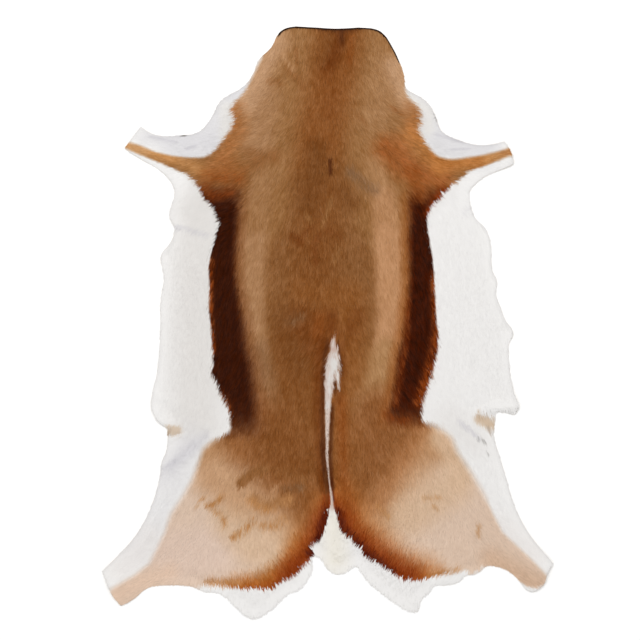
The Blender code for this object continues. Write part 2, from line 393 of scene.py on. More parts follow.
@dataclass
class Relief:
    """How high the leather and the coat stand off the floor, from the folds that the CAD solid has too.

    Attributes:
        rim: the hide's outline.
        chart: the net on which distances to the rim are kept.
        bare_rim: thickness of leather and underfur at the rim.
        coat: thickness of leather and lying hair over most of the back.
        taper: how far in from the rim the coat reaches its full depth.
        underfur: the share of the coat's thickness that is dense underfur, below the combed locks.
        left_corner: how far along the rounded left corner of the neck cut begins.
        right_corner: the same on the right.
        wrinkle_ease: how far beyond its ends a wrinkle runs out, as a share of its length.
        furrow_ease: the same for a furrow.
    """

    rim: Rim
    chart: Chart
    bare_rim: float = 1.6
    coat: float = 5.5
    taper: float = 26.0
    underfur: float = 0.72
    left_corner: float = 532.0
    right_corner: float = 484.0
    wrinkle_ease: float = 0.2
    furrow_ease: float = 0.25

    def __post_init__(self) -> None:
        """Works out how far every place of the chart lies inside the rim."""
        self.rim_depth = depth_inside(self.chart.places(), self.rim.loop)

    def inside(self, places: Array) -> Array:
        """How far each place lies inside the rim, negative outside it."""
        return self.chart.read(self.rim_depth, places)

    def is_cut(self, places: Array) -> Array:
        """Whether each place is by the straight cut of the neck or its rounded corners."""
        return places[:, 1] > np.where(places[:, 0] < 0.0, self.left_corner, self.right_corner)

    def leather(self, places: Array) -> Array:
        """Height of the underside: pleats and curls as in the solid, and the fine wrinkles.

        A pleat is its rise, times an eased fall to each side of its crest, times an eased fall inwards.
        A curl is its rise times the square of the share of its reach that is left. A wrinkle is its rise,
        eased off sideways over its width and over a share of its length beyond its ends.

        Args:
            places: across and along of each place.

        Returns:
            One height for each place.
        """
        height = np.zeros(len(places))
        for pleat in PLEATS:
            share, side = along_line(places, np.array(pleat.rim), np.array(pleat.inner))
            to_neck = side if pleat.inner[0] > pleat.rim[0] else -side
            fall = np.where(to_neck > 0, to_neck / pleat.gentle, -to_neck / pleat.steep)
            height += pleat.rise * smooth_step(1.0 - fall) * smooth_step(1.0 - share)
        for curl in CURLS:
            height += curl.rise * np.clip(curl.left(places), 0.0, 1.0) ** 2
        for wrinkle in WRINKLES:
            height += wrinkle.over(places, from_photo((wrinkle.start, wrinkle.end)), self.wrinkle_ease)
        return np.maximum(height, 0.0)

    def pelt(self, places: Array) -> Array:
        """Thickness of leather and lying hair together: patches added, furrows taken off, thin at the rim.

        Args:
            places: across and along of each place.

        Returns:
            One thickness for each place.
        """
        depth = np.full(len(places), self.coat)
        for patch in PATCHES:
            depth += patch.rise * smooth_step(patch.left(places))
        for furrow in FURROWS:
            depth += furrow.over(places, np.array((furrow.start, furrow.end)), self.furrow_ease)
        fullness = smooth_step(self.inside(places) / self.taper)
        return self.bare_rim + (depth - self.bare_rim) * fullness

    def skin(self, places: Array) -> Array:
        """Height of the leather's upper face with its underfur, in which the locks are rooted."""
        return self.leather(places) + self.bare_rim + self.underfur * (self.pelt(places) - self.bare_rim)

    def room(self, places: Array) -> Array:
        """How much height the combed locks have over the underfur."""
        return (1.0 - self.underfur) * (self.pelt(places) - self.bare_rim)


@dataclass(frozen=True)
class Stroke:
    """One stroke of the comb: a column and a row of the photograph, which way the tips point there, in
    degrees from straight to the tail and positive to the right, and how long the locks are.
    """

    column: float
    row: float
    heading: float
    length: float


STROKES = table(Stroke,
    (330, 40, 0, 10), (295, 45, -10, 10), (370, 42, 10, 10), (262, 72, -38, 9), (400, 75, 30, 9),
    (330, 90, 0, 11), (295, 100, -20, 11), (365, 100, 18, 11), (243, 105, -72, 12), (412, 112, 84, 14),
    (235, 132, -72, 11), (275, 125, -42, 11), (385, 130, 45, 11), (330, 140, 0, 11), (245, 155, -70, 11),
    (405, 150, 58, 12), (425, 150, 68, 11), (205, 165, -82, 9), (165, 152, -96, 7), (135, 145, -104, 6),
    (455, 168, 88, 9), (495, 152, 102, 6), (205, 140, -80, 9), (455, 145, 92, 8), (222, 120, -70, 11),
    (430, 112, 84, 11), (270, 165, -20, 11), (385, 170, 20, 11), (208, 196, -52, 12), (216, 214, -72, 11),
    (219, 228, -48, 11), (440, 192, 42, 12), (428, 208, 34, 12), (190, 200, -40, 12), (460, 200, 34, 12),
    (212, 262, -14, 14), (212, 320, -10, 14), (214, 365, -22, 14), (224, 398, -28, 13), (428, 240, 8, 13),
    (434, 300, 14, 14), (436, 340, 22, 15), (428, 385, 30, 14), (420, 412, 26, 13), (250, 230, -4, 12),
    (395, 230, 4, 12), (330, 200, 0, 12), (330, 260, 0, 12), (300, 310, -14, 12), (358, 310, 14, 12),
    (305, 340, -26, 12), (358, 340, 24, 12), (334, 338, -14, 16), (327, 350, -46, 15), (339, 354, 26, 15),
    (323, 364, -34, 14), (340, 366, 30, 14), (337, 375, 18, 16), (327, 385, 0, 16), (327, 420, -2, 14),
    (327, 450, 1, 12), (329, 482, 8, 10), (300, 400, -6, 12), (360, 400, 8, 12), (185, 250, -10, 15),
    (180, 330, -8, 16), (180, 400, -12, 15), (465, 250, 10, 15), (480, 330, 8, 16), (475, 400, 12, 15),
    (195, 450, -28, 11), (465, 450, 24, 11), (240, 440, -16, 11), (410, 435, 16, 11), (255, 500, -12, 10),
    (400, 500, 10, 10), (205, 505, -26, 10), (465, 490, 26, 10), (175, 540, -38, 9), (500, 540, 42, 9),
    (140, 580, -55, 7), (530, 575, 48, 7), (140, 545, -44, 9), (515, 545, 36, 9), (300, 490, 2, 12),
    (355, 490, -2, 12), (322, 515, 10, 15), (338, 512, -10, 15), (310, 548, 34, 16), (292, 568, 30, 16),
    (262, 582, 18, 16), (228, 580, 12, 13), (345, 530, -28, 16), (368, 550, -30, 16), (395, 570, -26, 16),
    (415, 577, -12, 16), (448, 574, -30, 14), (335, 550, 0, 22), (250, 600, 2, 18), (220, 591, -14, 14),
    (295, 588, 16, 18), (410, 600, 4, 18), (375, 578, -14, 18), (448, 582, -26, 14),
)


@dataclass
class Comb:
    """Which way the coat lies and how long it is, blended between strokes by their nearness.

    Attributes:
        extent: a net over the hide, which the comb covers with one of its own.
        pitch: the spacing of the comb's net.
        nearness: how far from a stroke its own centre counts as being.
        falloff: the power with which a stroke's pull falls off.
    """

    extent: Chart
    pitch: float = 4.0
    nearness: float = 16.0
    falloff: float = 3.6

    def __post_init__(self) -> None:
        """Blends the strokes over the comb's net."""
        counts = (self.extent.columns, self.extent.rows)
        columns, rows = (int(count * self.extent.pitch / self.pitch) + 2 for count in counts)
        self.chart = Chart(self.extent.low, columns, rows, self.pitch)
        places = self.chart.places()
        total = np.zeros((len(places), 4))
        for stroke in STROKES:
            turn = math.radians(stroke.heading)
            gap = np.hypot(*(places - from_photo(((stroke.column, stroke.row),))[0]).T)
            pull = (gap**2 + self.nearness**2) ** (-self.falloff / 2.0)
            total += pull[:, None] * np.array((math.sin(turn), -math.cos(turn), stroke.length, 1.0))
        self.field = total[:, :3] / total[:, 3:]

    def lie(self, places: Array) -> tuple[Array, Array]:
        """The unit direction in which tips point at each place, and the locks' length there."""
        found = self.chart.read(self.field, places)
        direction = found[:, :2] / np.maximum(np.hypot(*found[:, :2].T), 1e-6)[:, None]
        return direction, found[:, 2]


@dataclass(frozen=True)
class Tufts:
    """How neighbouring locks hang together: each belongs to a tuft that is narrow across and long along it.

    Attributes:
        pitch: spacing of the tufts.
        stretch: how many times longer than wide a tuft is.
        margin: how far from its cell's sides a tuft's centre stays, as a share of the cell.
        jitter: how much of the cell is left for it to lie in by chance.
    """

    pitch: float = 4.6
    stretch: float = 2.8
    margin: float = 0.15
    jitter: float = 0.7

    def gather(self, roots: Array, direction: Array, chance: Scatter) -> tuple[Array, Array]:
        """Finds each root's tuft: the nearest of the jittered cell centres around it.

        A centre's distance is measured with its part along the hair divided by the stretch.

        Args:
            roots: across and along of each root.
            direction: the way the hair lies at each root.
            chance: where the cells take their jitter and their random numbers from.

        Returns:
            The centre of each root's tuft, and four random numbers that its whole tuft shares.
        """
        home = np.floor(roots / self.pitch).astype(int)
        best = np.full(len(roots), np.inf)
        centre, shared = np.zeros_like(roots), np.zeros((len(roots), 4))
        for di in range(-2, 3):
            for dj in range(-2, 3):
                cell = home + (di, dj)
                drawn = chance.cell(cell[:, 0], cell[:, 1])
                at = (cell + self.margin + self.jitter * drawn[:, :2]) * self.pitch
                offset = at - roots
                ahead = (offset * direction).sum(axis=1) / self.stretch
                aside = direction[:, 0] * offset[:, 1] - direction[:, 1] * offset[:, 0]
                score = ahead**2 + aside**2
                nearer = score < best
                best = np.where(nearer, score, best)
                centre[nearer], shared[nearer] = at[nearer], drawn[nearer]
        return centre, shared


class Tone(Enum):
    """The coat's matched colours, as sRGB hex values."""

    BACK = "#8B6038"
    NECK_FAWN = "#91663E"
    NECK_PALE = "#B38C6A"
    NECK_MIDDLE = "#7F4C24"
    PALE_FAWN = "#B68C66"
    SHOULDER = "#A0673A"
    SHOULDER_DEEP = "#97562A"
    LEG_ORANGE = "#C08A55"
    LEG_TIP = "#CDA47A"
    LEG_ROOT = "#B0713A"
    SPINE = "#6B3916"
    SPINE_SOFT = "#7B4720"
    SADDLE = "#764620"
    SADDLE_SOFT = "#7F532E"
    SADDLE_WARM = "#825027"
    SADDLE_DARK = "#6C401D"
    SADDLE_GREY = "#75553A"
    # Dark brown hair, and also painted shade along the crest's edges and in its gaps
    UMBER_AND_SHADE = "#4E2812"
    CHESTNUT = "#84451A"
    FLANK_FAWN = "#A07753"
    FLANK_DUN = "#886242"
    FLANK_BRIGHT = "#B1835D"
    FLANK_SAND = "#A17850"
    BAND = "#3B1707"
    BAND_WARM = "#431807"
    BAND_CORE = "#280D04"
    BAND_RIM = "#774829"
    BAND_RIM_WARM = "#8A4E22"
    RUST = "#77350F"
    RUST_BRIGHT = "#A35A22"
    RUMP_DARK = "#45150A"
    RUMP_RED = "#77300E"
    HAUNCH_UPPER = "#86552F"
    HAUNCH = "#B68C67"
    HAUNCH_WARM = "#A06A40"
    HAUNCH_SAND = "#C9AB8E"
    HAUNCH_PALE = "#CDB5A1"
    HAUNCH_BLUSH = "#D1BAAA"
    HAUNCH_STREAK = "#855730"
    HAUNCH_SCUFF = "#AC7A4B"
    LEG_PALE = "#D6BAA4"
    LEG_DUN = "#C3A389"
    WHITE = "#EAE8E6"
    WHITE_WARM = "#E4DEDA"
    WHITE_SHADE = "#DCD8D4"
    WHITE_GREY = "#D6D4D6"
    CREST_WHITE = "#E1DEDA"
    CREST_ROSE = "#DBCDC3"
    CREST_PINK = "#C7ADA0"
    # Painted shade, laid grey along the creases of the white coat
    CREASE = "#C4C1C6"
    CREAM = "#E8E3D8"
    SKIN = "#C8AE92"
    SKIN_SHADE = "#8E7660"
    NUB = "#77736E"
    NECK_CUT_DARK = "#2A1A12"

    @property
    def colour(self) -> Array:
        """The tone's sRGB values."""
        return srgb(self.value)


@dataclass(frozen=True)
class Wash:
    """A soft brush stroke of colour.

    Attributes:
        tone: its colour.
        reach: how far to each side of its path it has faded to nothing.
        strength: how much of the colour below it covers on its path.
        path: the spots of the photograph that it runs through.
        streak: how much of its strength is left to chance, tuft by tuft.
        core: how far to each side of its path it keeps its full strength.
    """

    tone: Tone
    reach: float
    strength: float
    path: Path2D
    streak: float = 0.0
    core: float = 0.0

    def over(self, paint: Array, places: Array, grain: Array) -> None:
        """Lays the wash over the paint that is already there, eased off from its core to its reach.

        Args:
            paint: sRGB values of each place, which it changes.
            places: across and along of each place.
            grain: a random number from 0 to 1 that each tuft's places share.
        """
        path = from_photo(self.path)
        low, high = path.min(axis=0) - self.reach, path.max(axis=0) + self.reach
        near = np.flatnonzero(((places > low) & (places < high)).all(axis=1))
        gap = gap_to_path(places[near], path)
        cover = self.strength * smooth_step((self.reach - gap) / (self.reach - self.core))
        cover *= 1.0 - self.streak + self.streak * 2.0 * smooth_step((grain[near] - 0.25) / 0.5)
        cover = np.clip(cover, 0.0, 1.0)[:, None]
        paint[near] += cover * (self.tone.colour - paint[near])


@dataclass(frozen=True)
class BandEdge:
    """A dark band's inner edge at one row of the photograph: the column at which the coat is half dark, how
    wide the change from brown to dark is there, and how dark the band is, from 0 to 1.
    """

    row: float
    column: float
    blur: float
    depth: float


@dataclass(frozen=True)
class Band:
    """The dark band on one flank, from its inner edge out to the belly's white.

    Attributes:
        outward: -1 on the photograph's left and 1 on its right.
        tone: its colour.
        rim: the colour between it and the back.
        edges: its inner edge, from the neck end to the tail end.
    """

    outward: float
    tone: Tone
    rim: Tone
    edges: tuple[BandEdge, ...]

    def cover(self, places: Array, early: float = 0.0) -> Array:
        """How dark each place is: the band's depth there, eased in across its inner edge.

        Args:
            places: across and along of each place.
            early: how much further in than the dark this change begins.

        Returns:
            One share from 0 to 1 for each place.
        """
        edges = self.edges[::-1]
        across, along = from_photo(tuple((edge.column, edge.row) for edge in edges)).T
        edge = np.interp(places[:, 1], along, across)
        blur = np.interp(places[:, 1], along, [edge.blur for edge in edges])
        depth = np.interp(places[:, 1], along, [edge.depth for edge in edges])
        inside = self.outward * (places[:, 0] - edge) + early
        return depth * smooth_step(inside / (blur + early) + 0.5)


@dataclass(frozen=True)
class SoftEdge:
    """A stretch of the brown coat's edge where brown fades into white instead of ending at a line: how far
    to each side it fades, and the spots of the photograph that it runs through.
    """

    blur: float
    path: Path2D


@dataclass(frozen=True)
class CrestWidth:
    """The crest of white hair at one row of the photograph: its middle column and half its width there."""

    row: float
    column: float
    half: float


# The brown coat's outline. It starts beyond the neck cut and runs down the left side; where the brown
# reaches the rim, it runs outside the hide.
BROWN = (
    (330, 18), (280, 24), (262, 44), (262, 58), (257, 68), (252, 78), (247, 88), (241, 97), (234, 103),
    (231, 110), (234, 119), (232, 129), (226, 136), (222, 142), (216, 149), (210, 155), (203, 158),
    (188, 158), (171, 156), (155, 152), (141, 146), (131, 143), (120, 144), (125, 148.5), (143, 156),
    (159, 162.5), (173, 168.7), (186, 174), (193.5, 181.7), (199.5, 189), (203.5, 198), (211.5, 207),
    (215, 213), (218, 223), (216, 236), (212, 250), (209, 266), (209.8, 285), (209.3, 306), (211.3, 330),
    (212.8, 352), (214, 366), (211, 373), (216, 380), (219.3, 390), (224, 401), (229, 411), (231, 424),
    (231, 430), (227, 434), (221, 437.5), (212, 442.5), (204, 449), (199, 463), (193, 479), (182, 498),
    (171, 514), (165, 532), (157, 549), (150, 563), (135, 575), (112, 588), (106, 600), (121, 612),
    (150, 600), (186, 592), (196, 587), (205, 586.5), (214, 586), (225, 587), (235, 587), (245, 588),
    (255, 588), (265, 588), (273, 587), (277, 583), (285, 579), (290.5, 576), (295, 574), (300.5, 568.5),
    (304, 565), (308, 560.5), (313, 555.5), (313, 551), (310, 547), (314, 542), (319, 539), (322.5, 533),
    (325, 527), (327, 520), (328.5, 515), (329.5, 508), (331.5, 503), (334.5, 508), (337, 515), (339, 522),
    (341.5, 529), (346, 535), (352, 539.5), (357.5, 545), (363, 548), (363, 552.5), (371.5, 558.8),
    (379.5, 563), (389.5, 569), (397.5, 574.7), (404, 578.5), (411, 579), (425, 579), (432, 577),
    (440, 576), (447, 574), (455, 573), (463, 571), (472, 574), (483, 568), (490, 567), (500, 570),
    (512, 576), (519, 581), (527, 586.5), (537, 588.5), (545, 584.5), (548, 577), (543, 571), (530, 558),
    (516, 545), (502, 532), (493, 514), (483, 493), (471, 473), (457, 453), (451, 438), (444, 432),
    (434, 427), (421, 421), (421, 413), (423, 405), (424, 397), (428, 387), (432, 375), (433, 370),
    (436.5, 356), (438, 345), (438.3, 335), (436, 320), (435, 300), (434, 280), (432.7, 262), (431, 250),
    (428.5, 236), (426, 221), (428, 214), (431, 208), (435, 204), (440, 199), (444, 193), (452, 186),
    (461, 178.5), (470, 171), (483, 166.7), (497, 161.5), (508, 156.5), (516, 156), (514, 146), (507, 149),
    (497, 152), (482, 155.5), (467, 158), (453, 160), (445, 159), (438, 157), (432, 152), (425, 143),
    (421, 135), (418, 130), (421, 122), (421, 115), (419, 109), (413, 103), (408, 98), (406, 92), (405, 84),
    (416, 76), (402, 40), (385, 22),
)
# The crest of long white hair in the crease of the lower back, and the tuft that strays from it
CREST = table(CrestWidth,
    (335, 334.3, 0.6), (342, 333.5, 2.6), (348, 334.2, 3.4), (356, 333.8, 5.0), (364, 333.0, 6.3),
    (372, 331.6, 5.8), (380, 328.9, 3.8), (388, 328.7, 3.8), (396, 328.0, 3.2), (410, 327.6, 2.7),
    (425, 327.4, 2.0), (440, 327.2, 1.4), (455, 327.0, 1.3), (465, 327.7, 1.0), (475, 328.6, 0.8),
    (485, 329.7, 0.8), (495, 331.4, 1.3), (504, 332.2, 1.2), (508, 332.3, 2.2),
)
STRAY_TUFT = table(CrestWidth,
    (368, 336.5, 2.4), (376, 337.0, 1.9), (382, 337.8, 1.5), (388, 339.4, 0.6),
)
LEFT_BAND = Band(-1, Tone.BAND, Tone.BAND_RIM, table(BandEdge,
    (174, 241, 30, 0), (185, 240, 30, 0.14), (194, 239, 26, 0.55), (204, 238, 24, 0.93),
    (214, 237.5, 22, 1), (246, 235.5, 20, 1), (266, 234.5, 20, 1), (286, 236, 20, 1),
    (306, 239.5, 22, 1), (326, 243, 24, 1), (346, 245.5, 28, 1), (366, 250.5, 34, 1),
    (386, 252.5, 32, 1), (406, 254.5, 30, 0.97), (416, 254.5, 30, 0.85), (426, 256, 32, 0.5),
    (440, 258, 34, 0),
))
RIGHT_BAND = Band(1, Tone.BAND_WARM, Tone.BAND_RIM_WARM, table(BandEdge,
    (184, 411, 22, 0), (194, 410, 22, 0.45), (206, 410, 22, 0.95), (220, 410.5, 22, 1),
    (240, 409, 20, 1), (260, 410, 20, 1), (280, 410, 20, 1), (300, 408.5, 20, 1),
    (320, 406.0, 20, 1), (340, 403.2, 20, 1), (352, 399.5, 20, 1), (366, 397.2, 20, 1),
    (380, 396, 20, 1), (400, 393, 22, 1), (410, 389, 24, 0.85), (420, 388, 26, 0.5),
    (430, 388, 26, 0),
))
# The brown coat's colours, laid one over the other
BACK_WASHES = table(Wash,
    # The neck: pale at its sides, darker along the middle line
    (Tone.NECK_FAWN, 190, 1, ((326, 30), (326, 110)), 0, 135),
    (Tone.FLANK_FAWN, 54, 0.9, ((262, 98), (258, 120), (256, 142)), 0, 12),
    (Tone.NECK_PALE, 46, 0.95, ((273, 42), (261, 64), (251, 84), (244, 100)), 0, 8),
    (Tone.NECK_PALE, 36, 0.9, ((396, 66), (404, 88), (409, 104)), 0, 4),
    (Tone.NECK_PALE, 60, 0.3, ((386, 70), (382, 100), (376, 116))),
    (Tone.NECK_MIDDLE, 72, 1, ((340, 24), (335, 60), (329, 96), (322, 130), (318, 170)), 0, 18),
    (Tone.SADDLE_DARK, 34, 0.6, ((334, 34), (328, 62)), 0.2),
    (Tone.SPINE, 22, 1, ((343, 24), (339, 44), (334, 58), (327, 72)), 0.1),
    (Tone.SPINE_SOFT, 24, 0.7, ((328, 76), (330, 94), (329, 114)), 0.2),
    (Tone.UMBER_AND_SHADE, 16, 0.85, ((318, 26), (340, 29), (354, 27))),
    (Tone.UMBER_AND_SHADE, 9, 0.65, ((341, 28), (342, 44)), 0.3),
    (Tone.CHESTNUT, 12, 0.35, ((352, 38), (349, 62))),
    (Tone.SPINE_SOFT, 7, 0.4, ((296, 50), (297, 64)), 0.3),
    (Tone.SPINE_SOFT, 14, 0.3, ((288, 68), (295, 76), (302, 88)), 0.5),
    (Tone.SPINE_SOFT, 12, 0.3, ((270, 82), (280, 84)), 0.5),
    (Tone.PALE_FAWN, 9, 0.6, ((284, 58), (293, 70)), 0.2),
    (Tone.SPINE_SOFT, 10, 0.25, ((358, 116), (365, 124)), 0.5),
    (Tone.SPINE_SOFT, 9, 0.4, ((392, 108), (405, 116)), 0.6),
    # The shoulders and the forelegs
    (Tone.SHOULDER, 38, 0.8, ((232, 112), (236, 128), (228, 147), (222, 162)), 0.3),
    (Tone.SHOULDER, 36, 0.75, ((415, 110), (414, 130), (402, 146)), 0.3),
    (Tone.SHOULDER_DEEP, 46, 0.9, ((388, 150), (404, 166), (424, 176), (440, 178)), 0.2),
    (Tone.LEG_ROOT, 34, 0.7, ((414, 134), (426, 150), (440, 166)), 0.3),
    (Tone.SHOULDER, 34, 0.75, ((212, 172), (222, 168), (237, 172)), 0.2),
    (Tone.SPINE_SOFT, 24, 0.35, ((250, 153), (262, 158), (274, 157)), 0.4),
    (Tone.SPINE_SOFT, 26, 0.35, ((230, 166), (244, 170), (256, 168)), 0.5),
    (Tone.SPINE_SOFT, 8, 0.5, ((384, 148), (396, 162), (404, 172)), 0.6),
    (Tone.LEG_ORANGE, 24, 0.6, ((204, 176), (196, 168), (180, 161))),
    (Tone.LEG_ROOT, 26, 0.9, ((440, 166), (465, 163), (485, 160))),
    (Tone.LEG_ORANGE, 20, 0.9, ((172, 159), (150, 152), (128, 146))),
    (Tone.LEG_ORANGE, 18, 0.8, ((487, 159), (497, 156), (510, 152))),
    (Tone.LEG_TIP, 18, 0.5, ((146, 151), (130, 148))),
    (Tone.SHOULDER, 14, 0.5, ((504, 152), (514, 152))),
    # The strips beside the back, then the saddle between them
    (Tone.FLANK_FAWN, 40, 0.45, ((262, 180), (258, 205), (256, 230)), 0, 10),
    (Tone.FLANK_FAWN, 36, 0.9, ((255, 244), (254, 290), (256, 322)), 0, 12),
    (Tone.FLANK_FAWN, 32, 0.5, ((256, 326), (259, 340)), 0, 4),
    (Tone.FLANK_DUN, 34, 0.85, ((263, 350), (269, 376), (274, 396), (280, 412)), 0, 8),
    (Tone.FLANK_BRIGHT, 40, 0.75, ((384, 198), (387, 222)), 0, 10),
    (Tone.FLANK_BRIGHT, 40, 0.95, ((388, 238), (388, 260), (389, 300), (388, 344)), 0, 16),
    (Tone.PALE_FAWN, 24, 0.4, ((374, 164), (382, 184)), 0, 4),
    (Tone.SADDLE_SOFT, 88, 0.8, ((324, 194), (322, 225)), 0, 30),
    (Tone.SADDLE_SOFT, 118, 1, ((320, 268), (321, 318)), 0, 84),
    (Tone.SADDLE, 74, 0.8, ((320, 196), (316, 250), (312, 320), (304, 352)), 0, 14),
    (Tone.SADDLE, 74, 0.9, ((300, 352), (302, 400), (300, 440)), 0, 22),
    (Tone.SADDLE_WARM, 58, 0.9, ((346, 300), (347, 350), (345, 420)), 0, 14),
    (Tone.FLANK_SAND, 36, 0.95, ((386, 350), (380, 374), (372, 396), (364, 410)), 0, 8),
    (Tone.SADDLE_DARK, 36, 0.8, ((316, 150), (317, 170)), 0.2),
    (Tone.SADDLE_DARK, 46, 0.7, ((312, 186), (308, 206)), 0.2),
    (Tone.SADDLE_DARK, 34, 0.6, ((344, 196), (352, 204)), 0.3),
    (Tone.SADDLE_GREY, 20, 0.6, ((350, 172), (366, 186), (374, 190)), 0.3),
    (Tone.UMBER_AND_SHADE, 6, 0.9, ((330, 160), (330.5, 175))),
    (Tone.SPINE, 14, 0.7, ((292, 237), (300, 243)), 0.3),
    (Tone.SPINE, 10, 0.6, ((313, 226), (306, 232), (300, 240)), 0.3),
    (Tone.SPINE, 12, 0.6, ((318, 236), (314, 246), (316, 262)), 0.3),
    (Tone.SPINE, 12, 0.4, ((322, 222), (328, 232), (340, 236)), 0.3),
    (Tone.BACK, 9, 0.6, ((322, 226), (327, 214), (331, 200)), 0.2),
    (Tone.BACK, 8, 0.5, ((306, 214), (312, 224)), 0.2),
    (Tone.BACK, 12, 0.4, ((338, 250), (334, 262)), 0.2),
    (Tone.SADDLE_WARM, 40, 0.7, ((304, 292), (326, 296)), 0.2),
    (Tone.SADDLE_DARK, 54, 0.75, ((286, 322), (290, 340), (300, 366)), 0.2),
    (Tone.SPINE, 44, 0.6, ((302, 322), (312, 334), (316, 344)), 0.2, 8),
    (Tone.SADDLE_GREY, 18, 0.5, ((290, 322), (300, 318)), 0.3),
    (Tone.SPINE, 26, 0.5, ((358, 316), (348, 334)), 0.3),
    (Tone.CHESTNUT, 24, 0.5, ((322, 318), (318, 332)), 0.2),
    (Tone.SPINE, 22, 0.9, ((331, 316), (333, 334)), 0.2),
    # The haunches: pale hair, then brown down from the back, then the rust rims of the rump
    (Tone.HAUNCH_PALE, 132, 1, ((226, 520), (196, 545), (150, 575), (115, 595)), 0, 96),
    (Tone.HAUNCH_BLUSH, 80, 0.9, ((176, 556), (206, 552)), 0, 20),
    (Tone.HAUNCH_SAND, 60, 0.85, ((232, 520), (256, 545), (276, 545)), 0, 12),
    (Tone.HAUNCH_PALE, 132, 1, ((430, 520), (470, 530), (510, 552), (540, 585)), 0, 96),
    (Tone.HAUNCH, 74, 0.85, ((216, 448), (216, 474), (240, 490), (276, 502), (302, 518)), 0, 14),
    (Tone.HAUNCH, 84, 0.85, ((434, 434), (412, 462), (392, 486), (376, 514)), 0, 12),
    (Tone.HAUNCH_WARM, 48, 0.75, ((414, 426), (404, 450), (390, 472), (376, 500)), 0, 4),
    (Tone.HAUNCH_UPPER, 96, 1, ((250, 426), (280, 458), (310, 484)), 0, 34),
    (Tone.HAUNCH_UPPER, 88, 1, ((382, 420), (360, 452), (342, 478)), 0, 32),
    (Tone.SADDLE, 66, 0.7, ((276, 436), (292, 450), (312, 470)), 0, 14),
    (Tone.HAUNCH_SAND, 34, 0.85, ((442, 438), (453, 456), (460, 478)), 0, 6),
    (Tone.HAUNCH_SAND, 60, 0.85, ((452, 486), (428, 502), (410, 516)), 0, 10),
    (Tone.HAUNCH_WARM, 30, 0.3, ((236, 444), (240, 458)), 0, 4),
    (Tone.SADDLE_WARM, 60, 0.6, ((344, 430), (344, 480)), 0, 8),
    (Tone.LEG_PALE, 30, 0.8, ((170, 572), (140, 582), (118, 595))),
    (Tone.LEG_DUN, 40, 0.8, ((492, 560), (515, 572), (540, 588))),
    (Tone.RUST_BRIGHT, 60, 0.8, ((320, 522), (315, 536), (304, 552)), 0.1),
    (Tone.HAUNCH_UPPER, 54, 0.8, ((316, 494), (314, 510)), 0.1, 14),
    (Tone.RUST_BRIGHT, 46, 0.95, ((304, 552), (288, 572), (268, 586), (240, 590)), 0.1),
    (Tone.RUST_BRIGHT, 22, 0.55, ((244, 588), (226, 586), (212, 585)), 0.2),
    (Tone.RUMP_RED, 20, 0.7, ((292, 572), (278, 584), (262, 591), (244, 593)), 0.3),
    (Tone.RUST_BRIGHT, 74, 0.9, ((338, 508), (350, 534), (376, 556), (398, 572), (416, 578)), 0.1),
    (Tone.RUST_BRIGHT, 26, 0.6, ((418, 578), (430, 577), (440, 575)), 0.2),
    (Tone.RUMP_RED, 14, 0.8, ((327, 465), (328, 500)), 0.1),
    (Tone.RUMP_RED, 20, 0.8, ((329, 500), (326, 516)), 0.1),
    (Tone.RUMP_RED, 42, 0.95, ((324, 520), (318, 534), (308, 554), (290, 572)), 0.1),
    (Tone.RUMP_RED, 50, 0.95, ((338, 514), (347, 531), (368, 549), (389, 565), (408, 576)), 0.1),
    (Tone.RUMP_DARK, 18, 0.9, ((327, 512), (320, 536), (311, 553)), 0.3),
    (Tone.RUMP_DARK, 18, 0.9, ((337, 512), (342, 529), (354, 540), (369, 554), (390, 571)), 0.3),
    (Tone.RUMP_DARK, 5, 0.9, ((331, 478), (333, 500)), 0.2),
    (Tone.CHESTNUT, 20, 0.6, ((341, 398), (342, 430), (344, 480), (347, 505))),
    (Tone.SPINE, 17, 0.85, ((322, 340), (318, 370), (319, 440), (323, 490)), 0.2),
    (Tone.SPINE, 15, 0.6, ((342, 345), (343, 370), (337, 400)), 0.2),
    # Painted shade: dark along the crest's edges, in the gap between it and its stray tuft, and beside its
    # lower line in the crease
    (Tone.UMBER_AND_SHADE, 9, 0.85, ((329, 341), (325, 357), (323, 385), (322.5, 420), (326, 480))),
    (Tone.UMBER_AND_SHADE, 5, 0.75, ((337.5, 342), (340.5, 358), (341, 372))),
    (Tone.UMBER_AND_SHADE, 6, 0.9, ((334.5, 379), (335, 390))),
    (Tone.UMBER_AND_SHADE, 8, 0.95, ((322, 440), (323, 458), (325, 474), (328, 490))),
    (Tone.UMBER_AND_SHADE, 8, 0.9, ((332, 405), (331, 430), (330, 455), (331, 478), (333, 488))),
    (Tone.HAUNCH_SCUFF, 12, 0.6, ((238, 582), (208, 582)), 0.5),
    (Tone.HAUNCH_SCUFF, 12, 0.5, ((430, 574), (446, 572), (457, 570)), 0.5),
    # Scuffs, where the pale tips have worn off the haunches
    (Tone.HAUNCH_STREAK, 14, 1, ((241, 483), (248, 477), (263, 469)), 0.1, 4),
    (Tone.HAUNCH_STREAK, 16, 0.5, ((266, 470), (286, 474), (304, 480)), 0.4),
    (Tone.HAUNCH_SCUFF, 18, 0.7, ((252, 500), (264, 508), (288, 500)), 0.3),
    (Tone.HAUNCH_STREAK, 14, 0.4, ((256, 498), (266, 506), (280, 502)), 0.4),
    (Tone.HAUNCH, 16, 0.5, ((276, 488), (272, 496)), 0.3),
    (Tone.SADDLE_GREY, 12, 0.5, ((285, 489), (302, 487)), 0.3),
    (Tone.HAUNCH_SCUFF, 10, 0.8, ((207, 506), (214, 504), (222, 497)), 0.5),
    (Tone.HAUNCH_SCUFF, 6, 0.5, ((194, 509), (198, 504), (204, 498)), 0.8),
    (Tone.HAUNCH_SCUFF, 10, 0.6, ((212, 509), (219, 513), (223, 518), (225, 526)), 0.5),
    (Tone.HAUNCH_SCUFF, 10, 0.9, ((233, 537), (238, 533)), 0.2),
